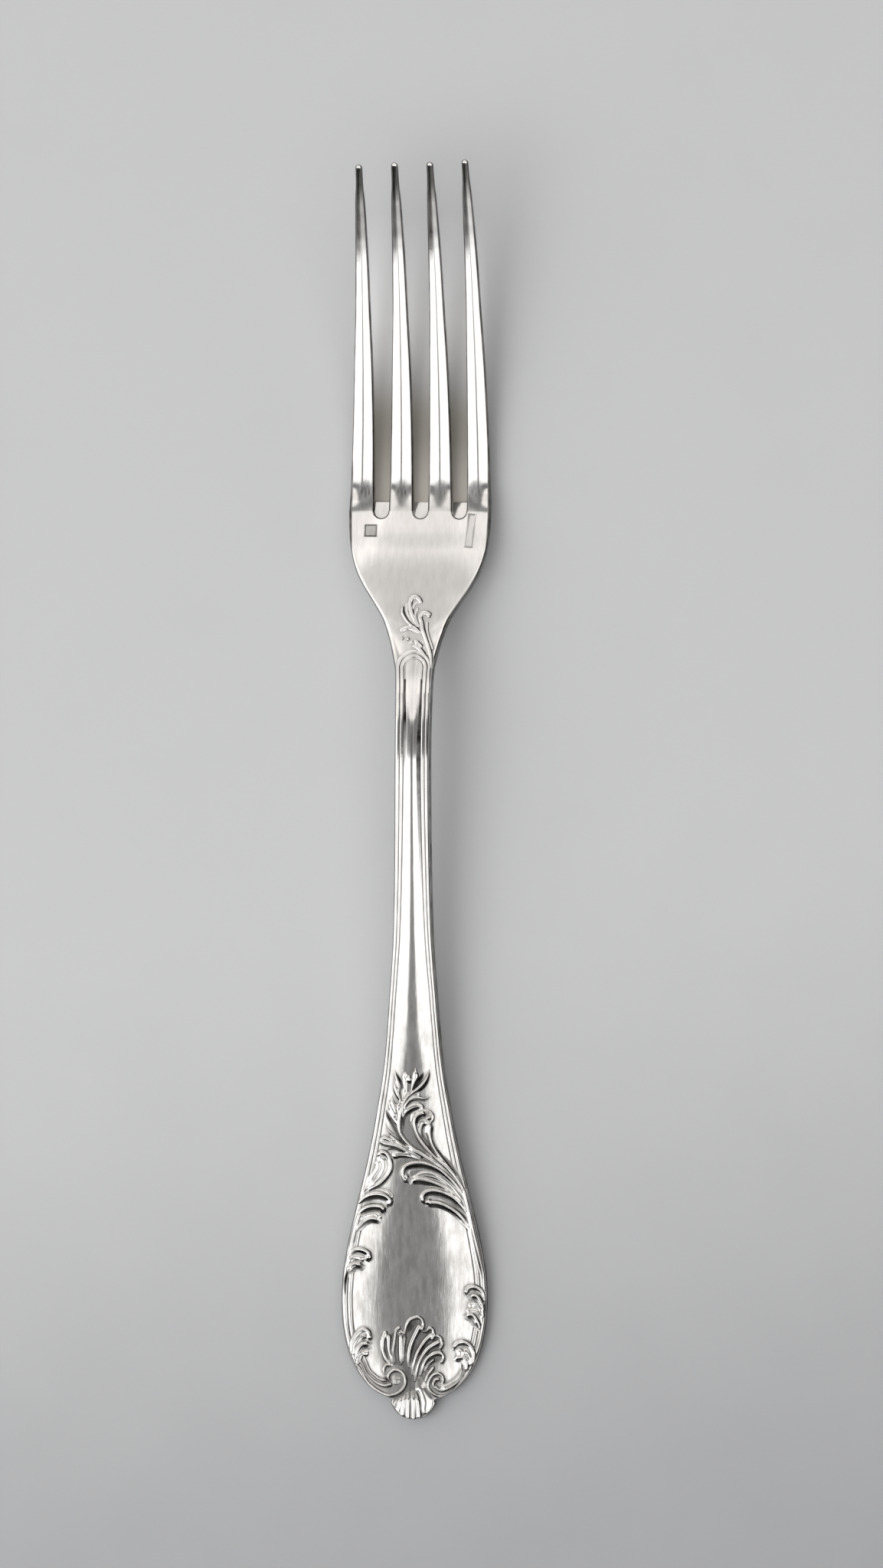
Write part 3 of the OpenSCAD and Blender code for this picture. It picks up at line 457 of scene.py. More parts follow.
def soften(field, spacing, radius):
    """Gaussian blur of a grid."""
    reach = int(math.ceil(3 * radius / spacing))
    kernel = np.exp(-0.5 * (np.arange(-reach, reach + 1) * spacing / radius) ** 2)
    kernel /= kernel.sum()
    for axis in (0, 1):
        padded = np.pad(field, [(reach, reach) if a == axis else (0, 0) for a in (0, 1)], mode="edge")
        length = field.shape[axis]
        field = sum(weight * np.take(padded, range(k, k + length), axis=axis)
                    for k, weight in enumerate(kernel))
    return field


class Form:
    """The fork's surface in mm, from its named sizes: x across, s along from the handle's end."""

    def __init__(self, sizes):
        def mm(name):
            return getattr(sizes, name) / MM

        self.blade_length, self.blade_width = mm("blade_length"), mm("blade_width")
        self.neck_start = self.blade_length + mm("stem_length")
        self.root_start = self.neck_start + mm("neck_length")
        self.slot_start = self.root_start + mm("root_length")
        self.tine_length = mm("tine_length")
        self.length = self.slot_start + self.tine_length
        self.tine_width, self.slot_width = mm("tine_root_width"), mm("slot_width")
        self.pitch = self.tine_width + self.slot_width
        self.tip_pitch = mm("tine_tip_pitch")
        self.head_width = 4 * self.tine_width + 3 * self.slot_width
        self.root_thickness, self.tip_height = mm("root_thickness"), mm("tip_height")
        self.relief = mm("relief_height")
        self.dish = mm("dish_depth")
        self.punch_depth = mm("punch_depth")
        crest = CREST_SHARE * self.neck_start
        fall = self.slot_start - crest
        shoulder = self.root_start + mm("root_length") - self.neck_start
        stem_length, stem_width, stem_root = mm("stem_length"), mm("stem_width"), mm("stem_root_width")
        neck_height, neck_thickness = mm("neck_height"), mm("neck_thickness")
        blade_thickness = mm("blade_thickness")
        self.width_table = (placed(BLADE_END, 0, self.blade_length, 0, self.blade_width)
                            + placed(BLADE_TAPER, 0, self.blade_length, stem_root, self.blade_width)
                            + placed(STEM_TAPER, self.blade_length, stem_length, stem_width, stem_root)
                            + placed(SHOULDERS, self.neck_start, shoulder, stem_width, self.head_width))
        head_rest = self.root_thickness / 2
        self.height_table = (placed(HANDLE_RISE, 0, self.neck_start, blade_thickness / 2, neck_height)
                             + placed(NECK_FALL, crest, fall, head_rest, neck_height)
                             + placed(TINE_RISE, self.slot_start, self.tine_length, head_rest,
                                      self.tip_height))
        self.thickness_table = (placed(HANDLE_THICKNESS, 0, crest, blade_thickness, neck_thickness)
                                + placed(NECK_THICKNESS, crest, fall, self.root_thickness, neck_thickness))
        self.dish_table = placed(DISH, self.neck_start, shoulder, 0, self.dish)

    def half_width(self, s):
        """Half of the fork's width, round at the handle's very end."""
        lobe = self.width_table[1]
        end = lobe[1] * np.sqrt(np.clip(s / lobe[0], 0, 1))
        return np.where(s < lobe[0], end, curve(self.width_table, s)) / 2

    def half_thickness(self, s):
        return curve(self.thickness_table, s) / 2

    def middle(self, x, s):
        """Height half-way through the metal, with the hollow across the head."""
        hollow = np.where(s < self.neck_start, 0, curve(self.dish_table, s)) * (2 * x / self.head_width) ** 2
        return curve(self.height_table, s) + hollow

    def threads(self, s):
        """Strength of the threads: they run from the lower leaves to the arch."""
        past = s - self.neck_start
        return smooth_step(s, *THREADS_BEGIN) * (1 - smooth_step(past, *THREADS_END))

    def panel(self, s):
        """Half-width of the panel, and width of the band beside it."""
        width = self.half_width(s)
        band = np.minimum(curve(BAND, s), BAND_LIMIT * width)
        return width - band, band

    def thinning(self, s):
        """How much the blade's top falls away towards its end."""
        return THIN_SHARE * np.clip(THIN_FROM - s, 0, None) + END_DIP * smooth_step(-s, -5, 0)

    def fill(self, s):
        """How far the front stands off its evenly thick form at the crest and sinks along the tines."""
        return curve(CREST_FILL, s - self.neck_start) - curve(SINK, s - self.slot_start)

    def ground(self, x, s, plain=False, struck=None):
        """Height of the top at a place or, if plain, of the level that the relief is struck on. The
        threads' strength can be given."""
        x, s = np.broadcast_arrays(np.asarray(x, float), np.asarray(s, float))
        width, thick = self.half_width(s), self.half_thickness(s)
        panel, band = self.panel(s)
        across = np.minimum(np.abs(x), width)
        arched = np.maximum(panel, LOBE_ARCH * (1 - smooth_step(s, *LOBE_FADE)) + 0.1)
        crown = curve(CROWN, s) * np.clip(across / arched, 0, 1.6) ** 2
        edge = np.maximum(width - across, 0)
        gain = smooth_step(self.slot_start - s, 0, 12) * (0.1 + 0.9 * smooth_step(s, 5, 12))
        turn = np.minimum(EDGE_RADIUS + EDGE_RADIUS_GAIN * gain, 0.9 * thick)
        rim = np.clip(turn - edge, 0, None)
        rounded = turn - np.sqrt(np.maximum(turn ** 2 - rim ** 2, 0))
        if plain:
            drop = np.minimum(crown, 1.2 * curve(CROWN, s)) + 0.8 * rounded
        else:
            share = np.clip((across - panel) / np.maximum(band, 0.1), 0, 1)
            on = self.threads(s) if struck is None else struck
            grooves = curve(THREADS, share) * np.minimum(1, thick / THREADS_FULL)
            threaded = np.minimum(crown, curve(CROWN, s)) + grooves
            drop = on * threaded + (1 - on) * (crown + rounded)
        return self.middle(x, s) + thick - drop - self.thinning(s) + self.fill(s)

    def back(self, x, s):
        """Height of the back: flat in its middle, rounded up to the sides."""
        width = np.maximum(self.half_width(s), 1e-6)
        share = np.clip(np.abs(x) / width, 0, 1)
        return self.middle(x, s) - self.half_thickness(s) * (1 - share ** 6) ** 0.4 + MICRON

    def point(self, x, s, z):
        """Places in mm as points of a mesh in metres."""
        x, s, z = np.broadcast_arrays(x, s, z)
        return np.stack([x, s - self.length / 2, z], axis=-1) * MM


# Relief

def drawn(points, step=0.15):
    """Smooth path through drawn points, as a dense polyline."""
    p = np.asarray(points, float)
    along = np.concatenate([[0], np.cumsum(np.hypot(*np.diff(p, axis=0).T))])
    places = np.linspace(0, along[-1], max(2, int(along[-1] / step)))
    padded = np.concatenate([2 * p[:1] - p[1:2], p, 2 * p[-1:] - p[-2:-1]])
    i = np.clip(np.searchsorted(along, places, side="right") - 1, 0, len(p) - 2)
    u = ((places - along[i]) / (along[i + 1] - along[i]))[:, None]
    a, b, c, d = padded[i], padded[i + 1], padded[i + 2], padded[i + 3]
    square, cube = 2 * a - 5 * b + 4 * c - d, 3 * b - a - 3 * c + d
    return 0.5 * (2 * b + (c - a) * u + square * u ** 2 + cube * u ** 3)


def nearest(x, s, path):
    """Distance from each place to a path, the side that the place lies on and how far along that is."""
    best = np.full(x.shape, np.inf)
    side, share = np.zeros(x.shape), np.zeros(x.shape)
    for k, (a, b) in enumerate(zip(path[:-1], path[1:])):
        run = b - a
        t = np.clip(((x - a[0]) * run[0] + (s - a[1]) * run[1]) / max(run @ run, 1e-9), 0, 1)
        dx, ds = x - a[0] - t * run[0], s - a[1] - t * run[1]
        distance = np.hypot(dx, ds)
        nearer = distance < best
        best = np.where(nearer, distance, best)
        side = np.where(nearer, run[0] * ds - run[1] * dx, side)
        share = np.where(nearer, (k + t) / (len(path) - 1), share)
    return best, side, share


def window_round(x, s, path, reach):
    """The part of the grid that lies within reach of a path, or none."""
    low, high = path.min(axis=0) - reach, path.max(axis=0) + reach
    rows = np.flatnonzero((s[:, 0] >= low[1]) & (s[:, 0] <= high[1]))
    columns = np.flatnonzero((x[0] >= low[0]) & (x[0] <= high[0]))
    return np.ix_(rows, columns) if len(rows) and len(columns) else None


def strike(field, tarnish_and_shade, x, s, style, points, scale=1.0):
    """Presses one line into a relief field: rounded on its narrow side, a hollow scoop on a wide one,
    which is darkened with tarnish and painted shade."""
    left, right, height = STYLES[style]
    path = drawn(points)
    window = window_round(x, s, path, max(left, right) + 0.1)
    if window is None:
        return
    best, side, share = nearest(x[window], s[window], path)
    thin = 0.55 + 0.45 * np.minimum(1, 4 * share)    # a line starts thinner and lower than it ends
    if style in POINTED:
        thin = thin * (1 - 0.8 * smooth_step(share, 0.5, 1.0))
    width = np.where(side > 0, left, right) * thin * scale
    flat = np.minimum(0.12, 0.5 * width)
    q = np.clip((best - flat) / (width - flat), 0, None)
    wide = np.where(side > 0, left, right) > WIDE_SIDE
    power = 2.0 if style.startswith("scoop") else 1.3
    form = 1 - np.clip(best / width, 0, 2) ** 2
    if style not in DOMED:
        form = np.where(wide, np.where(q < 1, np.abs(1 - q) ** power, -4 * (q - 1)), form)
    raised = height * (0.45 + 0.55 * np.minimum(1, 3 * share)) * form
    if style in POINTED:
        raised = raised * (1 - 0.5 * smooth_step(share, 0.6, 1.0))
    field[window] = np.maximum(field[window], np.where(form > -1, raised, -RELIEF_BED))
    # the wide side of a scoop is darkened with tarnish and painted shade
    if style.startswith("scoop"):
        deep = smooth_step(q, 0.05, 0.22) * (1 - smooth_step(q, 0.45, 1.0)) * wide
        deep *= SCOOP_TARNISH_AND_SHADE * np.minimum(1, 4 * share * (1.2 - share))    # less at both ends of the line
        tarnish_and_shade[window] = np.maximum(tarnish_and_shade[window], deep)


def hollow(field, tarnish_and_shade, x, s, half_width, amount, points):
    """Cuts one spindle-shaped hollow into a relief field and gives it a share of tarnish and painted shade.
    """
    path = drawn(points)
    window = window_round(x, s, path, half_width + 0.2)
    if window is None:
        return
    best, _, share = nearest(x[window], s[window], path)
    width = half_width * np.sqrt(np.clip(4 * share * (1 - share), 0.02, 1))
    q = np.clip(best / width, 0, 1.5)
    cut = field[window]
    field[window] = np.where(cut > 0, cut - HOLLOW_DEPTH * np.clip(1 - q * q, 0, 1), cut)
    tarnish_and_shade[window] = np.maximum(tarnish_and_shade[window], amount * (1 - smooth_step(q, 0.6, 1.2)))


def bed(tarnish_and_shade, x, s, amount, outline):
    """Gives the area inside an outline a share of tarnish and painted shade."""
    inside = np.zeros(x.shape, bool)
    for (x0, s0), (x1, s1) in zip(outline, outline[1:] + outline[:1]):
        if s0 == s1:
            continue
        crossing = (s >= min(s0, s1)) & (s < max(s0, s1)) & (x < x0 + (s - s0) * (x1 - x0) / (s1 - s0))
        inside ^= crossing
    np.maximum(tarnish_and_shade, amount * inside, out=tarnish_and_shade)


def thread_tarnish_and_shade(share):
    """Tarnish and painted shade in the two grooves of the threads."""
    deep = smooth_step(curve(THREADS, np.clip(share, 0, 1)), 0.08, 0.15)
    return GROOVE_TARNISH_AND_SHADE * deep * (share > 0) * (share < GROOVES_END)


def wedges(form, x, s, share):
    """Wedges of painted shade beside the panel where it runs over the crest. They thin out down the stem, the
    left one sooner."""
    past = s - form.neck_start
    grown = smooth_step(past, np.where(x > 0, WEDGE_RIGHT, WEDGE_LEFT), 0.5)
    bound = WEDGE_INNER + WEDGE_SPREAD * smooth_step(past, -6, WEDGE_END)
    bound = bound + (1 - grown) * np.maximum(form.panel(s)[0] - 0.1 - bound, 0)
    wedge = smooth_step(np.abs(x), bound - 0.08, bound + 0.08) * (share < WEDGE_BAND)
    return WEDGE_SHADE * np.sqrt(grown) * wedge * (past < WEDGE_END)


def arch_share(form, x, s):
    """Share of the threads' band where they run round the end of the neck's panel."""
    turn = form.neck_start + ARCH_MIDDLE
    panel, band = form.panel(np.minimum(s, turn))
    return (np.where(s < turn, np.abs(x), np.hypot(x, s - turn)) - panel) / band


def arch(form, x, s):
    """Height of those threads over the surface."""
    turn = form.neck_start + ARCH_MIDDLE
    share = arch_share(form, x, s)
    straight = form.ground(x, s, struck=1.0) - form.ground(x, s, plain=True)
    round_end = -curve(THREADS, np.clip(share, 0, 1)) * smooth_step(share, 0.0, 0.05)
    along = smooth_step(s, turn - ARCH_TURN, turn)
    lift = ARCH_LIFT + ARCH_CLIMB * smooth_step(s - form.neck_start, 2, 8)
    height = straight * (1 - along) + round_end * along + lift
    return np.where((share > 0.04) & (share < 0.97), height, -RELIEF_BED)


@functools.lru_cache(maxsize=None)
def relief(key, on_neck):
    """Grid of the ornament on the blade or the neck: places, level struck on, fields by group, recess."""
    form = Form(bpy.context.scene.dinner_fork)
    step = NECK_GRID if on_neck else RELIEF_GRID
    if on_neck:
        span, half = (form.neck_start + 0.5, form.root_start + 1.5), NECK_HALF_SPAN
        offset, groups = NECK_OFFSET, NECK_GROUPS
    else:
        span, half = (0.0, form.blade_length), form.blade_width / 2
        offset, groups = BLADE_OFFSET, BLADE_GROUPS
    across = np.arange(-half, half + step, step)
    along = np.arange(span[0], span[1] + step, step)
    x, s = np.meshgrid(across, along)
    level = form.ground(x, s, plain=True)
    inside = form.half_width(s) - np.abs(x)
    edge = 1.2 * (1 - smooth_step(inside, 0.02, 0.3))    # mm that the relief sinks at the fork's edge
    height = form.relief / DRAWN_HEIGHT * (NECK_RELIEF_SHARE if on_neck else 1)
    fields = {}
    tarnish_and_shade = np.zeros(x.shape)
    for name in groups:
        field = np.full(x.shape, -RELIEF_BED)
        for style, points in ORNAMENT.get(name, ()):
            strike(field, tarnish_and_shade, x + offset, s, style, points, NECK_LINE_SHARE if on_neck else 1.0)
        field = np.where(field > 0, field * height, field)
        for amount, outline in BEDS.get(name, ()):
            bed(tarnish_and_shade, x + offset, s, amount, outline)
        for half_width, amount, points in HOLLOWS.get(name, ()):
            hollow(field, tarnish_and_shade, x + offset, s, half_width, amount, points)
        if name == "neck_arch":
            field = arch(form, x, s)
        # the neck's lines are crisper
        softness = (0.3 if name == "neck_arch" else 0.7 if on_neck else 1.0) * STRIKE_SOFTNESS
        fields[name] = np.maximum(soften(field, step, softness) - 0.012 - edge, -RELIEF_BED)
    top = np.maximum(form.ground(x, s), level + np.max(list(fields.values()), axis=0))
    crease = np.clip((soften(top, step, CREASE_RADIUS) - top) / CREASE_DEPTH, 0, 1)
    # painted shade: the sides that lie away from the light get a dark line at their foot: the top is
    # compared with the top two and four cells up the light's way
    lee_shade = np.zeros(x.shape)
    for reach in (2, 4):
        across_reach, along_reach = round(0.6 * reach), round(0.8 * reach)
        higher = np.roll(top, (-along_reach, across_reach), axis=(0, 1)) - top
        lee_shade = np.maximum(lee_shade, np.clip((higher - 0.4 * reach * step) / 0.06, 0, 1))
    # the creases get tarnish and painted shade, the sides away from the light painted shade alone
    recess = np.maximum((NECK_CREASE_TARNISH_AND_SHADE if on_neck else CREASE_TARNISH_AND_SHADE) * crease, lee_shade)
    # hollows and beds are dark only where they lie low
    low = 1 - smooth_step(top - level, 0.16, 0.3)
    recess = np.maximum(recess, tarnish_and_shade * low) * (inside > 0.25)
    if on_neck:
        share = arch_share(form, x, s)
        lines = np.maximum(thread_tarnish_and_shade(share), wedges(form, x, s, share))
        recess = np.maximum(recess, lines * (top > level - 0.3))
    return {"x": across, "s": along, "level": level, "fields": fields, "recess": soften(recess, step, 0.06),
            "inside": inside, "step": step}


def relief_of(form, on_neck):
    """The relief of this form, worked out once for all the pieces that need it."""
    return relief((form.length, form.blade_width, form.relief), on_neck)


def sampled(grid, values, x, s):
    """Value of a relief grid at any places, zero outside it."""
    u = (x - grid["x"][0]) / grid["step"]
    v = (s - grid["s"][0]) / grid["step"]
    ok = (u >= 0) & (u < len(grid["x"]) - 1) & (v >= 0) & (v < len(grid["s"]) - 1)
    i, j = np.clip(u.astype(int), 0, len(grid["x"]) - 2), np.clip(v.astype(int), 0, len(grid["s"]) - 2)
    fu, fv = u - i, v - j
    value = ((values[j, i] * (1 - fu) + values[j, i + 1] * fu) * (1 - fv)
             + (values[j + 1, i] * (1 - fu) + values[j + 1, i + 1] * fu) * fv)
    return np.where(ok, value, 0)


# Meshes

STEM_RINGS, NECK_RINGS = 180, 120


def finish_piece(obj, node, material):
    """Hangs a finished piece in the frame in place of its node."""
    if not obj.data.materials:
        obj.data.materials.append(bpy.data.materials[material])
    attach(obj, "root")
    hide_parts(node)


def piece(name, points, faces, recess=None):
    """Mesh object from points and faces, smooth but for the many-sided faces at its ends."""
    mesh = bpy.data.meshes.new(name)
    mesh.from_pydata(np.asarray(points).reshape(-1, 3).tolist(), [], faces)
    mesh.polygons.foreach_set("use_smooth", [len(f) <= 4 for f in faces])
    if recess is not None:
        layer = mesh.attributes.new("recess", "FLOAT", "POINT")
        layer.data.foreach_set("value", np.asarray(recess, np.float32).ravel())
    mesh.update()
    obj = bpy.data.objects.new(name, mesh)
    bpy.context.scene.collection.objects.link(obj)
    return obj


def ring_faces(rows, count):
    """Faces of a closed tube of rings, with a flat face at each end. Rings run against the clock seen
    from -Y."""
    faces = []
    for i in range(rows - 1):
        a, b = i * count, (i + 1) * count
        faces += [(a + j, a + (j + 1) % count, b + (j + 1) % count, b + j) for j in range(count)]
    faces.append(tuple(range(count - 1, -1, -1)))
    faces.append(tuple((rows - 1) * count + j for j in range(count)))
    return faces


def spread(count, power=1.0):
    """Shares from 0 to 1 that crowd towards 1."""
    return 1 - (1 - np.linspace(0, 1, count)) ** power


def with_end_rings(places):
    """Places of a piece's rings with one more close to each end."""
    first, last = places[:1], places[-1:]
    return np.concatenate([first, first + END_RING, places[1:-1], last - END_RING, last])


def handle_rings(form, places, panel_count=44, band_count=40, back_count=26):
    """Rings of the handle: across the top from left to right, down the side and back under it."""
    s = np.asarray(places)[:, None]
    panel, band = form.panel(s)
    width = form.half_width(s)
    inner = panel * np.linspace(0, 1, panel_count)
    outer = panel + band * spread(band_count, 1.25)[1:]
    right = np.concatenate([inner, outer], axis=1)
    top_x = np.concatenate([-right[:, :0:-1], right], axis=1)
    top_z = form.ground(top_x, s)
    under = np.cos(np.linspace(0, math.pi, back_count))
    back_x = width * np.sign(under) * np.abs(under) ** 0.7
    back_z = form.back(back_x, s)
    x = np.concatenate([top_x, back_x], axis=1)
    z = np.concatenate([top_z, back_z], axis=1)
    return x, np.broadcast_to(s, x.shape), z


def edge_shade(form, x, s):
    """The painted shade along the fork's whole edge, a dark line: thin round the handle's end, wide beside
    the slots' ends.
    """
    inside = form.half_width(s) - np.abs(x)
    reach = EDGE_LINE + EDGE_LINE_HANDLE * smooth_step(s, 8, 14)
    reach = reach + EDGE_LINE_HEAD * smooth_step(s - form.slot_start, -8, -3)
    return EDGE_SHADE * (1 - smooth_step(inside, reach - EDGE_LINE_SOFT, reach + EDGE_LINE_SOFT))


def handle_piece(form, name, places, grid=None):
    """One stretch of the handle or neck, with the tarnish and painted shade that a relief's grid gives it."""
    x, s, z = handle_rings(form, with_end_rings(places))
    recess = np.zeros(x.shape)
    if grid is not None:
        recess = sampled(grid, grid["recess"], x, s)
    panel, band = form.panel(s)
    share = np.clip((np.abs(x) - panel) / band, 0, 1)
    # tarnish and painted shade in the grooves of the threads
    recess = np.maximum(recess, thread_tarnish_and_shade(share) * form.threads(s))
    # painted shade: the dark wedges beside the panel at the crest
    recess = np.maximum(recess, wedges(form, x, s, share))
    upper = z > form.middle(x, s) + 0.2 * form.half_thickness(s)
    # painted shade: a dark line along the fork's edge
    recess = np.maximum(recess * upper, edge_shade(form, x, s))
    return piece(name, form.point(x, s, z), ring_faces(*x.shape), recess)


def relief_piece(form, grid, name, on_neck):
    """One struck group as its own closed solid, rooted under the surface that it stands on."""
    field, level = grid["fields"][name], grid["level"]
    raised, inner = field > -RELIEF_BED + RELIEF_MARGIN, grid["inside"] > RELIEF_MARGIN
    cells = raised[:-1, :-1] | raised[1:, :-1] | raised[:-1, 1:] | raised[1:, 1:]
    cells &= inner[:-1, :-1] & inner[1:, 1:] & inner[1:, :-1] & inner[:-1, 1:]
    changed = True
    while changed:    # cells that touch only at a corner get a neighbour, so that the solid stays whole
        a, b, c, d = cells[:-1, :-1], cells[:-1, 1:], cells[1:, :-1], cells[1:, 1:]
        falling, rising = a & d & ~b & ~c, b & c & ~a & ~d
        changed = bool(falling.any() or rising.any())
        cells[:-1, 1:] |= falling
        cells[:-1, :-1] |= rising
    rows, columns = np.nonzero(cells)
    used = np.zeros(field.shape, bool)
    for dr in (0, 1):
        for dc in (0, 1):
            used[rows + dr, columns + dc] = True
    index = np.full(field.shape, -1)
    index[used] = np.arange(used.sum())
    r, c = np.nonzero(used)
    x, s = grid["x"][c], grid["s"][r]
    top = level[used] + field[used]
    bottom = level[used] - RELIEF_BED - RELIEF_FOOT
    points = np.concatenate([form.point(x, s, top), form.point(x, s, bottom)])
    recess = np.concatenate([grid["recess"][used], np.zeros(len(x))])
    count = len(x)
    corner = [index[rows + dr, columns + dc] for dr, dc in ((0, 0), (0, 1), (1, 1), (1, 0))]
    faces = list(zip(*[k.tolist() for k in corner]))
    faces += list(zip(*[(k + count).tolist() for k in corner[::-1]]))
    padded = np.pad(cells, 1)
    for dr, dc, first, second in ((-1, 0, 0, 1), (0, 1, 1, 2), (1, 0, 2, 3), (0, -1, 3, 0)):
        open_side = ~padded[rows + 1 + dr, columns + 1 + dc]
        a, b = corner[first][open_side], corner[second][open_side]
        faces += list(zip(b.tolist(), a.tolist(), (a + count).tolist(), (b + count).tolist()))
    obj = piece(name + "_relief", points, faces, recess)
    # upright sides are flat, so that they don't bend the light on the top's border
    obj.data.polygons.foreach_set("use_smooth", [k < 2 * len(rows) for k in range(len(faces))])
    return obj


def punches(form, x, s):
    """Depth and shade of the blank sunk punches: a square on the left and a leaning bar on the right."""
    root = form.slot_start - form.root_start
    depth, shade = np.zeros(x.shape), np.zeros(x.shape)
    for across, along, half_x, half_s, lean, dark in PUNCHES:
        dx, ds = x - across * form.head_width / 2, s - form.root_start - along * root
        c, n = math.cos(math.radians(lean)), math.sin(math.radians(lean))
        outside = np.maximum(np.abs(dx * c - ds * n) - half_x, np.abs(dx * n + ds * c) - half_s)
        depth = np.maximum(depth, PUNCH_LEFT * form.punch_depth * smooth_step(-outside, -0.04, 0.16))
        line = np.clip(1.4 - np.abs(outside + 0.05) / PUNCH_OUTLINE, 0, 1)
        shade = np.maximum(shade, np.maximum(dark * smooth_step(-outside, 0, 0.1), (0.4 + dark) * line))
    return depth, shade


def root_piece(form, side_count=38, slot_count=25, between_count=42, row_count=150):
    """The plate behind the slots, with their round ends bevelled down to the back."""
    half_slot, edge = form.slot_width / 2, form.head_width / 2
    # columns at the plate's end: across each slot, between the slots and out to the sides
    columns = half_slot * np.sin(np.linspace(-math.pi / 2, math.pi / 2, slot_count))
    between = np.linspace(half_slot, form.pitch - half_slot, between_count)[1:-1]
    side = form.pitch + half_slot + (edge - form.pitch - half_slot) * spread(side_count, 1.4)[1:]
    x_end = np.concatenate([-side[::-1], columns - form.pitch, between - form.pitch, columns, between,
                            columns + form.pitch, side])
    places = form.root_start + (form.slot_start - form.root_start) * spread(row_count, 1.35)
    places = with_end_rings(places)
    s = places[:, None] * np.ones(len(x_end))
    centre = np.clip(np.round(x_end / form.pitch), -1, 1) * form.pitch
    inward = np.clip(half_slot ** 2 - (x_end - centre) ** 2, 0, None)
    arc = np.sqrt(np.where(inward < 1e-9, 0, inward))
    warp_start = form.slot_start - ROOT_WARP
    s = np.where(s > warp_start, warp_start + (s - warp_start) * (form.slot_start - arc - warp_start)
                 / (form.slot_start - warp_start), s)
    x = x_end * form.half_width(s) / edge
    to_slot = np.hypot(x - centre, s - form.slot_start) - half_slot
    lip = np.clip(SLOT_EDGE - to_slot, 0, SLOT_EDGE)
    sunk, shade = punches(form, x, s)
    z = form.ground(x, s) - (SLOT_EDGE - np.sqrt(np.maximum(SLOT_EDGE ** 2 - lip ** 2, 0))) - sunk
    # the back: the same columns, ending at the foot of each slot's bevel
    foot = np.where(arc > NO_SLOT, form.slot_start + SLOT_FLOOR_RUN, form.slot_start)
    back_s = np.where(places[:, None] > warp_start, warp_start + (places[:, None] - warp_start)
                      * (foot - warp_start) / (form.slot_start - warp_start), places[:, None])
    back_x = x_end * form.half_width(np.minimum(back_s, form.slot_start)) / edge
    back_z = form.back(back_x, np.minimum(back_s, form.slot_start))
    # each bevel is flat
    bevels = {}
    for rank in (-1, 0, 1):
        slot = np.flatnonzero((arc > NO_SLOT) & (centre == rank * form.pitch))
        ends = slot[[0, -1]]
        bevels[rank] = slot, back_x[-1, ends], back_z[-1, ends]
        back_z[-1, slot] = np.interp(back_x[-1, slot], *bevels[rank][1:])
    all_x = np.concatenate([x, back_x[:, ::-1]], axis=1)
    all_s = np.concatenate([s, back_s[:, ::-1]], axis=1)
    all_z = np.concatenate([z, back_z[:, ::-1]], axis=1)
    rows, count = all_x.shape
    width = len(x_end)
    # painted shade: a dark line round the slots' ends
    rim = EDGE_SHADE * (1 - smooth_step(to_slot, 0.12, 0.26)) * (s > form.slot_start - 4)
    shade = np.maximum(np.maximum(shade, rim), edge_shade(form, x, s))
    recess = np.concatenate([shade, edge_shade(form, back_x[:, ::-1], back_s[:, ::-1])], axis=1)
    points = form.point(all_x, all_s, all_z)
    # row of points part of the way down the end: under the slots' lip, where the bevel starts
    end_s = all_s[-1, :width]
    start_s = form.slot_start - half_slot
    fall = (end_s - start_s) / (form.slot_start + SLOT_FLOOR_RUN - start_s)
    lip_z, foot_z = all_z[-1, :width] - SLOT_LIP, back_z[-1]
    bevel_z = lip_z + (foot_z - lip_z) * np.clip(fall, 0, 1)
    for slot, ends, levels in bevels.values():
        foot = np.interp(all_x[-1, slot], ends, levels)
        bevel_z[slot] = foot + (lip_z[slot].mean() - foot.mean()) * (1 - fall[slot])
    middle_points = form.point(all_x[-1, :width], end_s, bevel_z)
    points = np.concatenate([points.reshape(-1, 3), middle_points])
    # a little painted shade on the slots' bevels, which warms them
    recess = np.concatenate([recess.ravel(), np.where(arc > NO_SLOT, 0.1, 0.0)])
    faces = ring_faces(rows, count)[:-2]
    smooth = [True] * len(faces)
    for j in range(width - 1):
        faces.append((j, count - 1 - j, count - 2 - j, j + 1))
    last, under = (rows - 1) * count, rows * count
    for j in range(width - 1):
        faces.append((last + j, last + j + 1, under + j + 1, under + j))
        faces.append((under + j, under + j + 1, last + count - 2 - j, last + count - 1 - j))
    # the two side ends of the end row close against the ring's last edges
    faces.append((last, under, last + count - 1))
    faces.append((last + width - 1, last + width, under + width - 1))
    smooth += [False] * (len(faces) - len(smooth))
    obj = piece("root_plate", points, faces, recess)
    obj.data.polygons.foreach_set("use_smooth", smooth)
    return obj


# Materials

# Clean silver plate, the thin milky film on it, and the warm black of the recesses' tarnish and of painted
# shade
SILVER, CLOUDED, TARNISH_AND_SHADE = "#F5F3F0", "#D2CFCB", "#1E1A17"
# The board and its painted shade towards the handle's end, and the painted shade and light between the tines:
# a warm painted shade at their roots, paler close to the slots' ends, and painted light further up
BOARD, BOARD_SHADE = "#C2C3C4", "#9FA0A2"
BOARD_WARM_SHADE, BOARD_PALER_SHADE, BOARD_PAINTED_LIGHT = "#A8A49C", "#C9C3BA", "#F2F2F2"
PAINTED_PATCH_MIDDLE = 0.0545  # m along the fork, at the tines' roots
PAINTED_PATCH_EDGE = (0.0085, 0.0108)  # m from the fork's middle, where the tints fade out sideways


def linear(colour):
    """Linear colour from an sRGB hex string."""
    channels = [int(colour[k:k + 2], 16) / 255 for k in (1, 3, 5)]
    return tuple(c / 12.92 if c <= 0.04045 else ((c + 0.055) / 1.055) ** 2.4 for c in channels) + (1.0,)


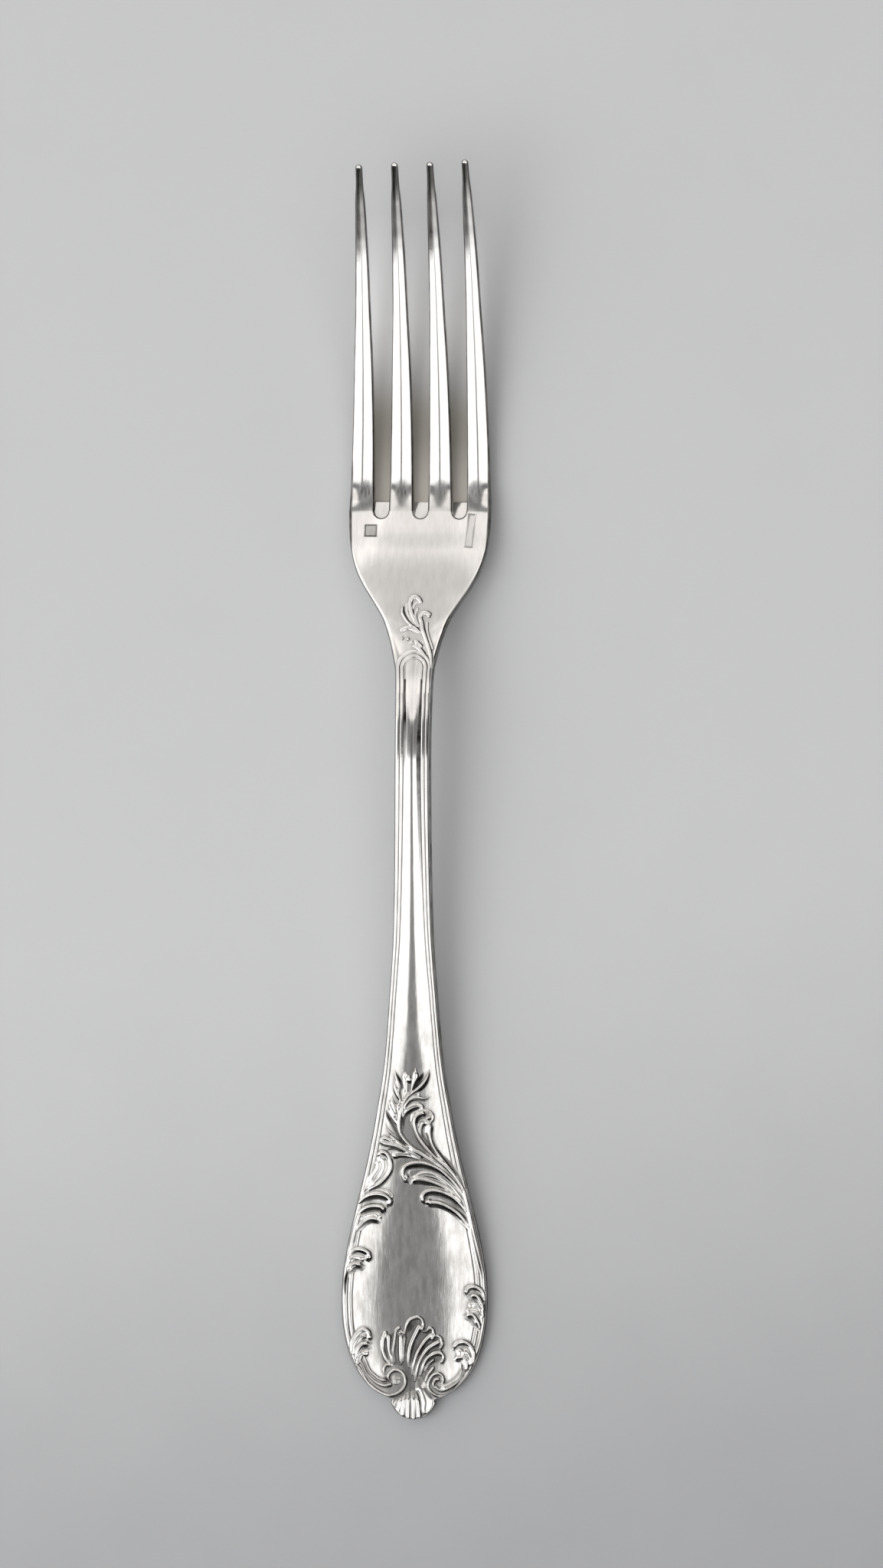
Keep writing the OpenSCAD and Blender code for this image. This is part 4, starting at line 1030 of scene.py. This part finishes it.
def add(tree, kind, *inputs, **settings):
    """Adds one node: its settings by name, then its inputs in order, each a value, a socket or a node."""
    named = {k: settings.pop(k) for k in list(settings) if k.startswith("in_")}
    node = tree.nodes.new(kind)
    for name, value in settings.items():
        setattr(node, name, value)
    pairs = list(enumerate(inputs)) + [(k[3:].replace("_", " "), v) for k, v in named.items()]
    for place, value in pairs:
        if isinstance(value, bpy.types.Node):
            value = value.outputs[0]
        if isinstance(value, bpy.types.NodeSocket):
            tree.links.new(value, node.inputs[place])
        else:
            node.inputs[place].default_value = value
    return node


def maths(tree, operation, *inputs, **settings):
    return add(tree, "ShaderNodeMath", *inputs, operation=operation, **settings)


def times(tree, first, *others):
    """One value times all the others."""
    for other in others:
        first = maths(tree, "MULTIPLY", first, other)
    return first


def scaled(tree, value, start, end, low, high, kind="LINEAR"):
    """A value carried from one range to another and held at both ends."""
    return add(tree, "ShaderNodeMapRange", value, start, end, low, high, interpolation_type=kind)


def ramp(tree, value, start, end, low, high):
    """The same with a soft start and end."""
    return scaled(tree, value, start, end, low, high, kind="SMOOTHSTEP")


def noise(tree, place, detail, scale=1.0, size=None, **named):
    """Noise with a scale, or with a size in metres along each axis."""
    if size:
        place = add(tree, "ShaderNodeMapping", place, in_Scale=tuple(1 / length for length in size))
    return add(tree, "ShaderNodeTexNoise", place, in_Scale=scale, in_Detail=detail, **named)


def mixed(tree, share, first, second):
    """Colour between two others, each a hex string or a socket."""
    node = add(tree, "ShaderNodeMix", data_type="RGBA", blend_type="MIX")
    tree.links.new(share.outputs[0], node.inputs["Factor"])
    for place, colour in ((6, first), (7, second)):
        if isinstance(colour, str):
            node.inputs[place].default_value = linear(colour)
        else:
            tree.links.new(colour, node.inputs[place])
    return node.outputs[2]


def new_material(name):
    """An empty material, its tree and a socket with the object's own coordinates."""
    material = bpy.data.materials.new(name)
    material.use_nodes = True
    tree = material.node_tree
    tree.nodes.clear()
    return material, tree, add(tree, "ShaderNodeTexCoord").outputs["Object"]


def silver_material(name, tarnish_and_shade, roughness):
    """Silver plate on nickel silver, buffed lengthwise and worn in use: a warm near-mirror with a fine
    lengthwise grain, hairline scratches from washing and stacking, and tarnish left in the recesses, with
    painted shade in them and along the edges."""
    material, tree, place = new_material(name)
    # buffing grain: lines 0.2 mm apart and 3 mm long, drawn coarser than the real 0.02 mm ones
    grain = noise(tree, place, 3.0, size=(0.0002, 0.003, 0.004))
    # wider soft waves that the buffing wheel leaves, 1.1 mm apart
    wave = noise(tree, place, 2.0, size=(0.0011, 0.0065, 0.006))
    # hairline scratches in four directions, kept to a few by a high threshold
    scratches = None
    for turn, shift in ((0.12, 0.0), (-0.35, 3.7), (0.8, 8.1), (1.5, 5.2)):
        at = add(tree, "ShaderNodeMapping", place, in_Location=(shift, shift, 0), in_Rotation=(0, 0, turn),
                 in_Scale=(1 / 0.0002, 1 / 0.0035, 1 / 0.02))
        thin = scaled(tree, noise(tree, at, 1.0), 0.68, 0.78, 0.0, 1.0)
        scratches = maths(tree, "MAXIMUM", scratches, thin) if scratches else thin
    # small knocks about 0.3 mm wide
    knocks = scaled(tree, noise(tree, place, 0.0, scale=900.0), 0.72, 0.8, 0.0, 1.0)
    height = times(tree, grain, 0.6)
    for marks, strength in ((wave, 2.6), (scratches, -0.35), (knocks, -0.35)):
        height = maths(tree, "MULTIPLY_ADD", marks, strength, height)
    bump = add(tree, "ShaderNodeBump", in_Strength=1.0, in_Distance=0.0000025, in_Height=height)
    # tarnish and painted shade where the recess attribute says, uneven in blotches of 3 mm
    recess = add(tree, "ShaderNodeAttribute", attribute_name="recess").outputs["Fac"]
    uneven = scaled(tree, noise(tree, place, 3.0, scale=350.0), 0.3, 0.7, 0.8, 1.15)
    dark = maths(tree, "MULTIPLY", times(tree, recess, uneven), tarnish_and_shade, use_clamp=True)
    # the thin film that polishing leaves here and there, brushed lengthwise, most of it on the handle's end
    film = noise(tree, place, 4.0, size=(0.0009, 0.0032, 0.004), in_Roughness=0.6)
    film = scaled(tree, film, 0.36, 0.66, 0.0, 1.0)
    along = add(tree, "ShaderNodeSeparateXYZ", place).outputs["Y"]
    film = times(tree, film, ramp(tree, along, -0.05, -0.02, 1.0, 0.3))
    colour = mixed(tree, dark, mixed(tree, film, SILVER, CLOUDED), TARNISH_AND_SHADE)
    # smears of 8 mm from drying, and rougher where it is scratched, filmed or dark with tarnish and painted
    # shade
    smear = noise(tree, place, 2.0, scale=120.0)
    rough = scaled(tree, smear, 0.3, 0.7, roughness * 0.75, roughness * 1.3)
    for marks, strength in ((scratches, 0.03), (film, 0.02), (dark, 0.3)):
        rough = maths(tree, "MULTIPLY_ADD", marks, strength, rough)
    shader = add(tree, "ShaderNodeBsdfPrincipled", in_Base_Color=colour, in_Metallic=1.0, in_Roughness=rough,
                 in_Normal=bump)
    add(tree, "ShaderNodeOutputMaterial", shader)
    return material


def floor_material(name):
    """Pale painted board: matt, with the faint mottle of a roller. Its painted shade, and the painted shade
    and light between the tines, stand in for light that the lamp and the world don't give, and stay put from
    every side."""
    material, tree, place = new_material(name)
    across, along, _ = add(tree, "ShaderNodeSeparateXYZ", place).outputs
    # painted shade towards the handle's end, most at the lower right
    lean = maths(tree, "MULTIPLY_ADD", across, -0.2, along)
    fall = ramp(tree, lean, -0.16, -0.01, 1.0, 0.0)
    # mottle of 17 mm
    mottle = scaled(tree, noise(tree, place, 4.0, scale=60.0), 0.3, 0.7, -0.03, 0.03)
    share = maths(tree, "ADD", fall, mottle, use_clamp=True)
    board = mixed(tree, share, BOARD, BOARD_SHADE)
    # painted warm shade at the tines' roots
    under_x = ramp(tree, maths(tree, "ABSOLUTE", across), *PAINTED_PATCH_EDGE, 1.0, 0.0)
    under_y = maths(tree, "ABSOLUTE", maths(tree, "SUBTRACT", along, PAINTED_PATCH_MIDDLE))
    under_y = ramp(tree, under_y, 0.007, 0.02, 1.0, 0.0)
    # the painted shade is paler close to the slots' ends
    near_root = scaled(tree, along, 0.048, 0.058, 1.0, 0.0)
    warm_shade = mixed(tree, near_root, BOARD_WARM_SHADE, BOARD_PALER_SHADE)
    shaded = mixed(tree, times(tree, under_x, under_y), board, warm_shade)
    # painted light further up, gone before the tips
    begun = ramp(tree, along, 0.06, 0.075, 0.0, 1.0)
    left = scaled(tree, along, 0.078, 0.096, 0.75, 0.0)
    painted_light = times(tree, begun, left, under_x)
    colour = mixed(tree, painted_light, shaded, BOARD_PAINTED_LIGHT)
    # the paint's grain of 0.6 mm
    grit = noise(tree, place, 2.0, scale=1800.0)
    bump = add(tree, "ShaderNodeBump", in_Strength=0.2, in_Distance=0.0001, in_Height=grit)
    shader = add(tree, "ShaderNodeBsdfPrincipled", in_Base_Color=colour, in_Roughness=0.9, in_Normal=bump,
                 in_Specular_IOR_Level=0.1)
    add(tree, "ShaderNodeOutputMaterial", shader)
    return material


def studio_world():
    """Soft boxes on both sides with the camera's dark gap between them, a light wall past the tines and
    the dark of the room lower down. Angles are degrees from straight up, to +X and to +Y."""
    world = bpy.data.worlds.new("studio")
    bpy.context.scene.world = world
    world.use_nodes = True
    tree = world.node_tree
    tree.nodes.clear()
    x, y, z = add(tree, "ShaderNodeSeparateXYZ", add(tree, "ShaderNodeTexCoord").outputs["Generated"]).outputs
    degrees = 180 / math.pi
    gap_lean = 6.5  # degrees that the gap between the boxes lies to the left of straight up
    side = maths(tree, "MULTIPLY_ADD", maths(tree, "ARCTAN2", x, z), degrees, gap_lean)
    ahead = times(tree, maths(tree, "ARCTAN2", y, z), degrees)
    off = maths(tree, "ABSOLUTE", side)
    # both boxes brighten outwards
    left = ramp(tree, side, -9.6, -6.6, 1.3, 0.0)
    left = maths(tree, "ADD", left, ramp(tree, side, -26.0, -11.0, 0.3, 0.0))
    boxes = maths(tree, "ADD", left, ramp(tree, side, 5.0, 8.0, 0.0, 1.28))
    # dark gap between them, lighter towards the handle's end
    boxes = maths(tree, "MAXIMUM", boxes, ramp(tree, ahead, -44.0, -16.0, 0.5, 0.27))
    boxes = times(tree, boxes, ramp(tree, ahead, -54.0, -46.0, 0.05, 1.0))
    # dark band overhead, wider and deeper to the sides, then the light wall
    past = maths(tree, "SUBTRACT", ahead, ramp(tree, off, 8.0, 30.0, 8.0, 14.0))
    begun = ramp(tree, past, -1.5, 2.5, 0.0, 1.0)
    band = ramp(tree, ahead, -1.5, 1.0, 1.0, ramp(tree, off, 5.0, 11.0, 0.5, 0.15))
    # far to the left the soft box runs on to the wall without the band
    bridge = times(tree, ramp(tree, begun, 0.0, 1.0, 1.0, 0.0), ramp(tree, side, -38.0, -28.0, 1.0, 0.0))
    band = maths(tree, "MAXIMUM", band, bridge)
    wall = times(tree, begun, ramp(tree, ahead, 27.0, 35.5, 0.79, 0.52),
                 ramp(tree, off, 14.0, 36.0, 1.0, 1.28), ramp(tree, ahead, 58.0, 72.0, 1.0, 1.35))
    # the room is dark low down, most on the right and behind the handle
    west = maths(tree, "MULTIPLY_ADD", y, 0.6, times(tree, x, -0.85))
    height = maths(tree, "ADD", z, ramp(tree, west, -0.1, 0.9, 0.0, 0.65))
    open_sky = ramp(tree, height, 0.6, 0.7, 0.04, 1.0)
    boxes = times(tree, boxes, open_sky)
    wall = times(tree, wall, open_sky)
    total = maths(tree, "MULTIPLY_ADD", boxes, band, wall)
    background = add(tree, "ShaderNodeBackground", mixed(tree, wall, "#FFFFFF", "#FFFBF8"), total)
    add(tree, "ShaderNodeOutputWorld", background)


# The tines, by Geometry Nodes

TINE_RINGS = 190
TINE_SIDES = 72
RING_CROWDING = 1.35  # over 1, the rings crowd towards the tip
TINE_PATCHES = (0.6, 0.1, 0.2, -0.4)  # mm from each tine's middle to the middle of its worn patch
PATCH_HALF_WIDTH = 1.3  # mm
PATCH_PLACE, PATCH_HALF_LENGTH = 0.056, 0.038  # shares of the tine's length
TIP_ROUND = 0.6  # mm over which the tip is rounded off
# Power of the section's outline, which is squarer where the tine joins the root, and of its rounding
SECTION_ROOT, SECTION, SECTION_ROUND = 40.0, 26.0, 0.45
RIDGE_SOFT = 0.006  # how softly the two facets of the front meet
THICKEST = 1.1  # a curve node ends at 1, so the thickness is given as a share of this
DEEPEST = max(depth for place, depth in SINK)  # mm
TINE_INPUTS = ("Start", "Reach", "Root X", "Tip X", "Root Width", "Tip Width", "Root Thickness",
               "Rest Height", "Tip Height", "Dish", "Head Width", "Outer Side", "Patch X")


def tine_curves(form, tree, share):
    """A curve node for each thing that changes along a tine, fed with the share of its length."""
    samples = np.linspace(0, 1, 31) ** 1.4
    low, high = form.root_thickness / 2, form.tip_height
    before = [p for p in form.height_table if p[0] < form.slot_start + 1e-6][-3:]
    rise = curve(before + placed(TINE_RISE, form.slot_start, form.tine_length, low, high),
                 form.slot_start + samples * form.tine_length)
    tables = {
        "rise": (rise - low) / (high - low),
        "taper": curve(TINE_TAPER, samples),
        "thickness": curve(TINE_THICKNESS, samples) / THICKEST,
        "crown": smooth_step(samples, 0.005, 0.08),
        "sink": curve(SINK, samples * form.tine_length) / DEEPEST,
    }
    curves = {}
    for name, values in tables.items():
        curves[name] = add(tree, "ShaderNodeFloatCurve", 1.0, share)
        mapping = curves[name].mapping
        points = mapping.curves[0].points
        while len(points) < len(samples):
            points.new(0.5, 0.5)
        for point, place, value in zip(points, samples, values):
            point.location = (place, min(max(value, 0), 1))
            point.handle_type = "AUTO"
        mapping.update()
    return curves


def tine_shade_and_wear(tree, sizes, across, half_width, share, centre, upper):
    """Painted shade and wear of a tine: a dark line of painted shade along both edges, wider beside the root
    and most of all on the fork's outside, and a worn patch of streaks at the root."""
    # painted shade: a dark line along the tine's edges, wider on the fork's outside
    inside = maths(tree, "SUBTRACT", 1.0, maths(tree, "ABSOLUTE", across))
    outer = scaled(tree, times(tree, across, sizes["Outer Side"]), 0.2, 0.5, 0.06 * MM, 0.22 * MM)
    widening = times(tree, outer, scaled(tree, share, 0.04, 0.17, 1.0, 0.0))
    inside = maths(tree, "SUBTRACT", times(tree, inside, half_width), widening)
    rim = scaled(tree, inside, 0.14 * MM, 0.3 * MM, EDGE_SHADE, 0.0)
    off_x = maths(tree, "SUBTRACT", times(tree, across, half_width), sizes["Patch X"])
    patch_x = maths(tree, "DIVIDE", off_x, PATCH_HALF_WIDTH * MM)
    patch_y = add(tree, "ShaderNodeMapRange", share, PATCH_PLACE, PATCH_PLACE + PATCH_HALF_LENGTH, 0.0, 1.0,
                  clamp=False)
    streak_at = add(tree, "ShaderNodeCombineXYZ", times(tree, off_x, 1 / 0.0003), times(tree, share, 30.0),
                    centre)
    streak = scaled(tree, noise(tree, streak_at, 2.0), 0.3, 0.65, 0.4, 1.0)
    away = add(tree, "ShaderNodeVectorMath", add(tree, "ShaderNodeCombineXYZ", patch_x, patch_y, 0.0),
               operation="LENGTH").outputs["Value"]
    patch = times(tree, ramp(tree, away, 0.3, 1.15, 0.95, 0.0), streak, upper)
    return maths(tree, "MAXIMUM", rim, patch)


def tine_tree(form):
    """Node tree of one tine: a closed tube whose rings follow the taper, thickness and rise."""
    tree = bpy.data.node_groups.new("tine", "GeometryNodeTree")
    tree.interface.new_socket("Geometry", in_out="OUTPUT", socket_type="NodeSocketGeometry")
    for name in TINE_INPUTS:
        tree.interface.new_socket(name, in_out="INPUT", socket_type="NodeSocketFloat")
    tree.interface.new_socket("Finish", in_out="INPUT", socket_type="NodeSocketMaterial")
    sizes = add(tree, "NodeGroupInput").outputs
    tube = add(tree, "GeometryNodeMeshCylinder", TINE_SIDES, TINE_RINGS, 1, 1.0, 1.0, fill_type="NGON")
    across, side, along = add(tree, "ShaderNodeSeparateXYZ", add(tree, "GeometryNodeInputPosition")).outputs
    # the second ring lies next to the first, so that the shading stays straight up to the end
    step = 1 / TINE_RINGS
    rest = scaled(tree, along, -0.5 + step, 0.5, -0.5, 0.5)
    first = scaled(tree, along, -0.5, -0.5 + step, 0.0, END_RING / form.tine_length / RING_CROWDING)
    share = maths(tree, "SUBTRACT", 0.5, maths(tree, "ADD", rest, first))
    share = maths(tree, "POWER", maths(tree, "MAXIMUM", share, 0.0), RING_CROWDING)
    share = maths(tree, "SUBTRACT", 1.0, share)
    curves = tine_curves(form, tree, share)
    # half of the width and of the thickness, rounded off at the tip
    end = scaled(tree, share, 1 - TIP_ROUND / form.tine_length, 1.0, 0.0, 1.0)
    end = maths(tree, "SQRT", maths(tree, "SUBTRACT", 1.0, times(tree, end, end)))
    growth = maths(tree, "SUBTRACT", sizes["Root Width"], sizes["Tip Width"])
    width = maths(tree, "MULTIPLY_ADD", growth, curves["taper"], sizes["Tip Width"])
    half_width = times(tree, width, end, 0.5)
    thick = times(tree, sizes["Root Thickness"], curves["thickness"], THICKEST / 2, end)
    # section: flat with round edges, its front a low roof of two facets
    q = maths(tree, "ABSOLUTE", across)
    off = maths(tree, "SQRT", maths(tree, "MULTIPLY_ADD", q, q, RIDGE_SOFT))
    q = maths(tree, "POWER", q, scaled(tree, curves["crown"], 0.0, 1.0, SECTION_ROOT, SECTION))
    q = maths(tree, "MAXIMUM", maths(tree, "SUBTRACT", 1.0, q), 0.0)
    level = times(tree, maths(tree, "POWER", q, SECTION_ROUND), maths(tree, "SIGN", side))
    centre = scaled(tree, share, 0.0, 1.0, sizes["Root X"], sizes["Tip X"])
    x = maths(tree, "MULTIPLY_ADD", across, half_width, centre)
    y = maths(tree, "MULTIPLY_ADD", share, sizes["Reach"], sizes["Start"])
    climb = maths(tree, "SUBTRACT", sizes["Tip Height"], sizes["Rest Height"])
    z = maths(tree, "MULTIPLY_ADD", climb, curves["rise"], sizes["Rest Height"])
    # the root plate's hollow runs on across each tine's first millimetres
    flat = scaled(tree, curves["crown"], 0.0, 1.0, x, centre)
    out = times(tree, maths(tree, "DIVIDE", flat, sizes["Head Width"]), 2.0)
    out = times(tree, out, out, scaled(tree, share, 0.0, 0.06, 1.0, 1.12))
    z = maths(tree, "MULTIPLY_ADD", out, sizes["Dish"], z)
    z = maths(tree, "MULTIPLY_ADD", level, thick, z)
    # the front alone sinks and has the roof
    upper = maths(tree, "MAXIMUM", level, 0.0)
    z = maths(tree, "MULTIPLY_ADD", times(tree, upper, curves["sink"]), -DEEPEST * MM, z)
    lean = times(tree, curves["crown"], -ROOF, half_width, upper)
    z = maths(tree, "MULTIPLY_ADD", off, lean, z)
    recess = tine_shade_and_wear(tree, sizes, across, half_width, share, centre, upper)
    marked = add(tree, "GeometryNodeStoreNamedAttribute", tube, data_type="FLOAT", domain="POINT",
                 in_Name="recess", in_Value=recess)
    moved = add(tree, "GeometryNodeSetPosition", marked, True, add(tree, "ShaderNodeCombineXYZ", x, y, z))
    # the points that meet at the very tip become one
    closed = add(tree, "GeometryNodeMergeByDistance", moved, True, 0.002 * MM)
    solid = add(tree, "GeometryNodeRealizeInstances", add(tree, "GeometryNodeFlipFaces", closed))
    add(tree, "NodeGroupOutput", add(tree, "GeometryNodeSetMaterial", solid, True, sizes["Finish"]))
    return tree


# Sizes and finishes that a user would change

def length_property(name, description, millimetres):
    return FloatProperty(name=name, description=description, default=millimetres * MM, min=0.0, unit="LENGTH",
                         precision=5)


class DinnerForkSizes(bpy.types.PropertyGroup):
    blade_width: length_property("Blade width", "Greatest width of the handle's end", 24.4)
    blade_length: length_property("Blade length", "From the handle's end to the stem", 62.5)
    blade_thickness: length_property("Blade thickness", "Thickness of the blade in its middle", 3.0)
    stem_length: length_property("Stem length", "From the blade to the neck", 53.5)
    stem_root_width: length_property("Stem root width", "Width where the blade runs into the stem", 9.2)
    stem_width: length_property("Stem width", "Least width of the stem", 5.9)
    neck_length: length_property("Neck length", "From the stem to the root of the tines", 21.0)
    neck_thickness: length_property("Neck thickness", "Thickness of the neck at its crest", 4.8)
    neck_height: length_property("Neck height", "Height of the neck's middle line at its crest", 9.8)
    root_length: length_property("Root length", "From the neck to the bottoms of the slots", 13.4)
    root_thickness: length_property("Root thickness", "Thickness between the slots", 2.7)
    dish_depth: length_property("Dish depth", "Depth of the hollow across the head", 0.8)
    tine_length: length_property("Tine length", "From a slot's round end to the longest tip", 57.6)
    tine_root_width: length_property("Tine root width", "Width of a tine at its root", 4.1)
    slot_width: length_property("Slot width", "Width of a slot at its round end", 2.4)
    tine_tip_pitch: length_property("Tip pitch", "Distance between the middles of two tips", 5.85)
    tine_tip_width: length_property("Tip width", "Width of a tine just under its tip", 1.1)
    tip_height: length_property("Tip height", "Height of the tips' middle line over the table", 18.2)
    relief_height: length_property("Relief height", "Height of the struck ornament", 0.55)
    punch_depth: length_property("Punch depth", "Depth of the blank punches", 0.2)
    tine_wear: FloatVectorProperty(name="Tine wear", description="Wear of the tips from left to right",
                                   default=(0.0009, 0.0005, 0.0004, 0.0), size=4, unit="LENGTH")


class DinnerForkFinish(bpy.types.PropertyGroup):
    roughness: FloatProperty(name="Roughness", description="Roughness of the buffed silver", default=0.09,
                             min=0.0, max=1.0)
    # how dark the tarnish and the painted shade are
    patina_and_shade: FloatProperty(name="Patina", description="How dark the tarnish in the recesses is", default=0.97,
                          min=0.0, max=1.0)


# Operators

class FORK_OT_blade(bpy.types.Operator):
    """Build the pear-shaped blade of the handle"""
    bl_idname = "fork.blade"
    bl_label = "Blade"

    def execute(self, context):
        form = Form(context.scene.dinner_fork)
        # rings in mm: crowded at the round end, close on the lobe, wider further on
        round_end = 0.3 * np.linspace(0.04, 1, 10) ** 2
        lobe, rest = np.arange(0.4, 6.0, 0.09), np.arange(6.0, form.blade_length - 0.1, 0.22)
        places = np.concatenate([round_end, lobe, rest, [form.blade_length]])
        obj = handle_piece(form, "blade_plate", places, relief_of(form, False))
        finish_piece(obj, "blade", "silver plate")
        return {"FINISHED"}


class FORK_OT_stem(bpy.types.Operator):
    """Build the stem with two threads along each edge"""
    bl_idname = "fork.stem"
    bl_label = "Stem"

    def execute(self, context):
        form = Form(context.scene.dinner_fork)
        places = np.linspace(form.blade_length, form.neck_start, STEM_RINGS)
        finish_piece(handle_piece(form, "stem_bar", places), "stem", "silver plate")
        return {"FINISHED"}


class FORK_OT_neck(bpy.types.Operator):
    """Build the neck that widens into the head"""
    bl_idname = "fork.neck"
    bl_label = "Neck"

    def execute(self, context):
        form = Form(context.scene.dinner_fork)
        places = np.linspace(form.neck_start, form.root_start, NECK_RINGS)
        obj = handle_piece(form, "neck_bar", places, relief_of(form, True))
        finish_piece(obj, "neck", "silver plate")
        return {"FINISHED"}


class FORK_OT_root(bpy.types.Operator):
    """Build the plate behind the slots with two blank punches"""
    bl_idname = "fork.root"
    bl_label = "Root"

    def execute(self, context):
        finish_piece(root_piece(Form(context.scene.dinner_fork)), "root", "silver plate")
        return {"FINISHED"}


class FORK_OT_tines(bpy.types.Operator):
    """Build the four tines with Geometry Nodes"""
    bl_idname = "fork.tines"
    bl_label = "Tines"

    def execute(self, context):
        sizes = context.scene.dinner_fork
        form = Form(sizes)
        tree = tine_tree(form)
        names = ("tine_outer_left", "tine_inner_left", "tine_inner_right", "tine_outer_right")
        for index, name in enumerate(names):
            rank = index - 1.5
            values = {
                "Start": (form.slot_start - form.length / 2) * MM,
                "Reach": form.tine_length * MM - sizes.tine_wear[index] - MICRON * MM,
                "Root X": rank * form.pitch * MM,
                "Tip X": rank * form.tip_pitch * MM,
                "Root Width": sizes.tine_root_width,
                "Tip Width": sizes.tine_tip_width,
                "Root Thickness": sizes.root_thickness,
                "Rest Height": sizes.root_thickness / 2,
                "Tip Height": sizes.tip_height,
                "Dish": sizes.dish_depth,
                "Head Width": form.head_width * MM,
                "Outer Side": (-1.0, 0.0, 0.0, 1.0)[index],
                "Patch X": TINE_PATCHES[index] * MM,
                "Finish": bpy.data.materials["silver plate"],
            }
            blank = bpy.data.objects.new(name + "_nodes", bpy.data.meshes.new(name + "_nodes"))
            context.scene.collection.objects.link(blank)
            modifier = blank.modifiers.new("tine", "NODES")
            modifier.node_group = tree
            for item in tree.interface.items_tree:
                if item.in_out == "INPUT":
                    modifier[item.identifier] = values[item.name]
            blank.update_tag()
            evaluated = blank.evaluated_get(context.evaluated_depsgraph_get())
            mesh = bpy.data.meshes.new_from_object(evaluated)
            bpy.data.objects.remove(blank)
            mesh.polygons.foreach_set("use_smooth", [len(p.vertices) < 5 for p in mesh.polygons])
            obj = bpy.data.objects.new(name + "_tine", mesh)
            context.scene.collection.objects.link(obj)
            finish_piece(obj, name, "silver plate")
        return {"FINISHED"}


class FORK_OT_blade_ornament(bpy.types.Operator):
    """Build the eleven struck groups of the blade"""
    bl_idname = "fork.blade_ornament"
    bl_label = "Blade ornament"

    def execute(self, context):
        form = Form(context.scene.dinner_fork)
        grid = relief_of(form, False)
        for name in BLADE_GROUPS:
            finish_piece(relief_piece(form, grid, name, False), name, "struck silver plate")
        return {"FINISHED"}


class FORK_OT_neck_ornament(bpy.types.Operator):
    """Build the arch and the sprig of the neck"""
    bl_idname = "fork.neck_ornament"
    bl_label = "Neck ornament"

    def execute(self, context):
        form = Form(context.scene.dinner_fork)
        grid = relief_of(form, True)
        for name in NECK_GROUPS:
            finish_piece(relief_piece(form, grid, name, True), name, "struck silver plate")
        return {"FINISHED"}


class FORK_OT_materials(bpy.types.Operator):
    """Make the finishes"""
    bl_idname = "fork.materials"
    bl_label = "Finishes"

    def execute(self, context):
        finish = context.scene.dinner_fork_finish
        for name in ("silver plate", "struck silver plate"):
            silver_material(name, finish.patina_and_shade, finish.roughness)
        return {"FINISHED"}


class FORK_OT_stage(bpy.types.Operator):
    """Set up the pale floor, the soft light and the camera"""
    bl_idname = "fork.stage"
    bl_label = "Stage"

    def execute(self, context):
        scene = context.scene
        half, low = 5.0, -0.00005    # a hair under the fork
        corners = [(-half, -half, low), (half, -half, low), (half, half, low), (-half, half, low)]
        floor = piece("floor", corners, [(0, 1, 2, 3)])
        floor.data.materials.append(floor_material("pale painted board"))
        studio_world()
        lamp = bpy.data.lights.new("soft_box_left", "AREA")
        lamp.shape = "SQUARE"
        lamp.size = 0.9
        lamp.energy = 6.2
        light = bpy.data.objects.new("soft_box_left", lamp)
        light.location = (-0.5, -0.34, 0.99)
        light.rotation_mode = "QUATERNION"
        light.rotation_quaternion = (Vector((0, 0.05, 0)) - light.location).to_track_quat("-Z", "Y")
        # the silver mirrors the world's soft boxes, so the lamp only lights the floor and throws the shadow
        light.visible_glossy = False
        scene.collection.objects.link(light)
        # the camera looks down from 2.5 m, a little from the right, and is turned slightly
        lens = bpy.data.cameras.new("camera")
        distance, view_height, film = 2.5, math.radians(5.95), 36.0
        tilt, roll = math.radians(6.57), math.radians(0.46)
        aim = Vector((0.0036, 0.00125, 0))
        lens.sensor_fit = "VERTICAL"
        lens.sensor_height = lens.sensor_width = film
        lens.lens = film / 2 / math.tan(view_height / 2)
        lens.clip_start, lens.clip_end = 0.1, 50.0
        camera = bpy.data.objects.new("camera", lens)
        turn = Euler((0, tilt, 0)).to_matrix() @ Euler((0, 0, roll)).to_matrix()
        camera.rotation_mode = "QUATERNION"
        camera.rotation_quaternion = turn.to_quaternion()
        camera.location = aim + turn @ Vector((0, 0, distance))
        scene.collection.objects.link(camera)
        scene.camera = camera
        scene.view_settings.view_transform = "Standard"
        return {"FINISHED"}


class FORK_PT_sidebar(bpy.types.Panel):
    bl_idname = "FORK_PT_sidebar"
    bl_label = "Dinner fork"
    bl_space_type = "VIEW_3D"
    bl_region_type = "UI"
    bl_category = "Fork"

    def draw(self, context):
        for settings in (context.scene.dinner_fork, context.scene.dinner_fork_finish):
            column = self.layout.column(align=True)
            for name in settings.__annotations__:
                column.prop(settings, name)
        for operator in OPERATORS:
            self.layout.operator(operator.bl_idname)


OPERATORS = (FORK_OT_materials, FORK_OT_blade, FORK_OT_stem, FORK_OT_neck, FORK_OT_root, FORK_OT_tines,
             FORK_OT_blade_ornament, FORK_OT_neck_ornament, FORK_OT_stage)
CLASSES = (DinnerForkSizes, DinnerForkFinish, *OPERATORS, FORK_PT_sidebar)


def register():
    for cls in CLASSES:
        bpy.utils.register_class(cls)
    bpy.types.Scene.dinner_fork = PointerProperty(type=DinnerForkSizes)
    bpy.types.Scene.dinner_fork_finish = PointerProperty(type=DinnerForkFinish)


def unregister():
    del bpy.types.Scene.dinner_fork_finish
    del bpy.types.Scene.dinner_fork
    for cls in reversed(CLASSES):
        bpy.utils.unregister_class(cls)


def main():
    register()
    bpy.ops.fork.materials()
    bpy.ops.fork.blade()
    bpy.ops.fork.stem()
    bpy.ops.fork.neck()
    bpy.ops.fork.root()
    bpy.ops.fork.tines()
    bpy.ops.fork.blade_ornament()
    bpy.ops.fork.neck_ornament()
    bpy.ops.fork.stage()


if __name__ == "__main__":
    main()
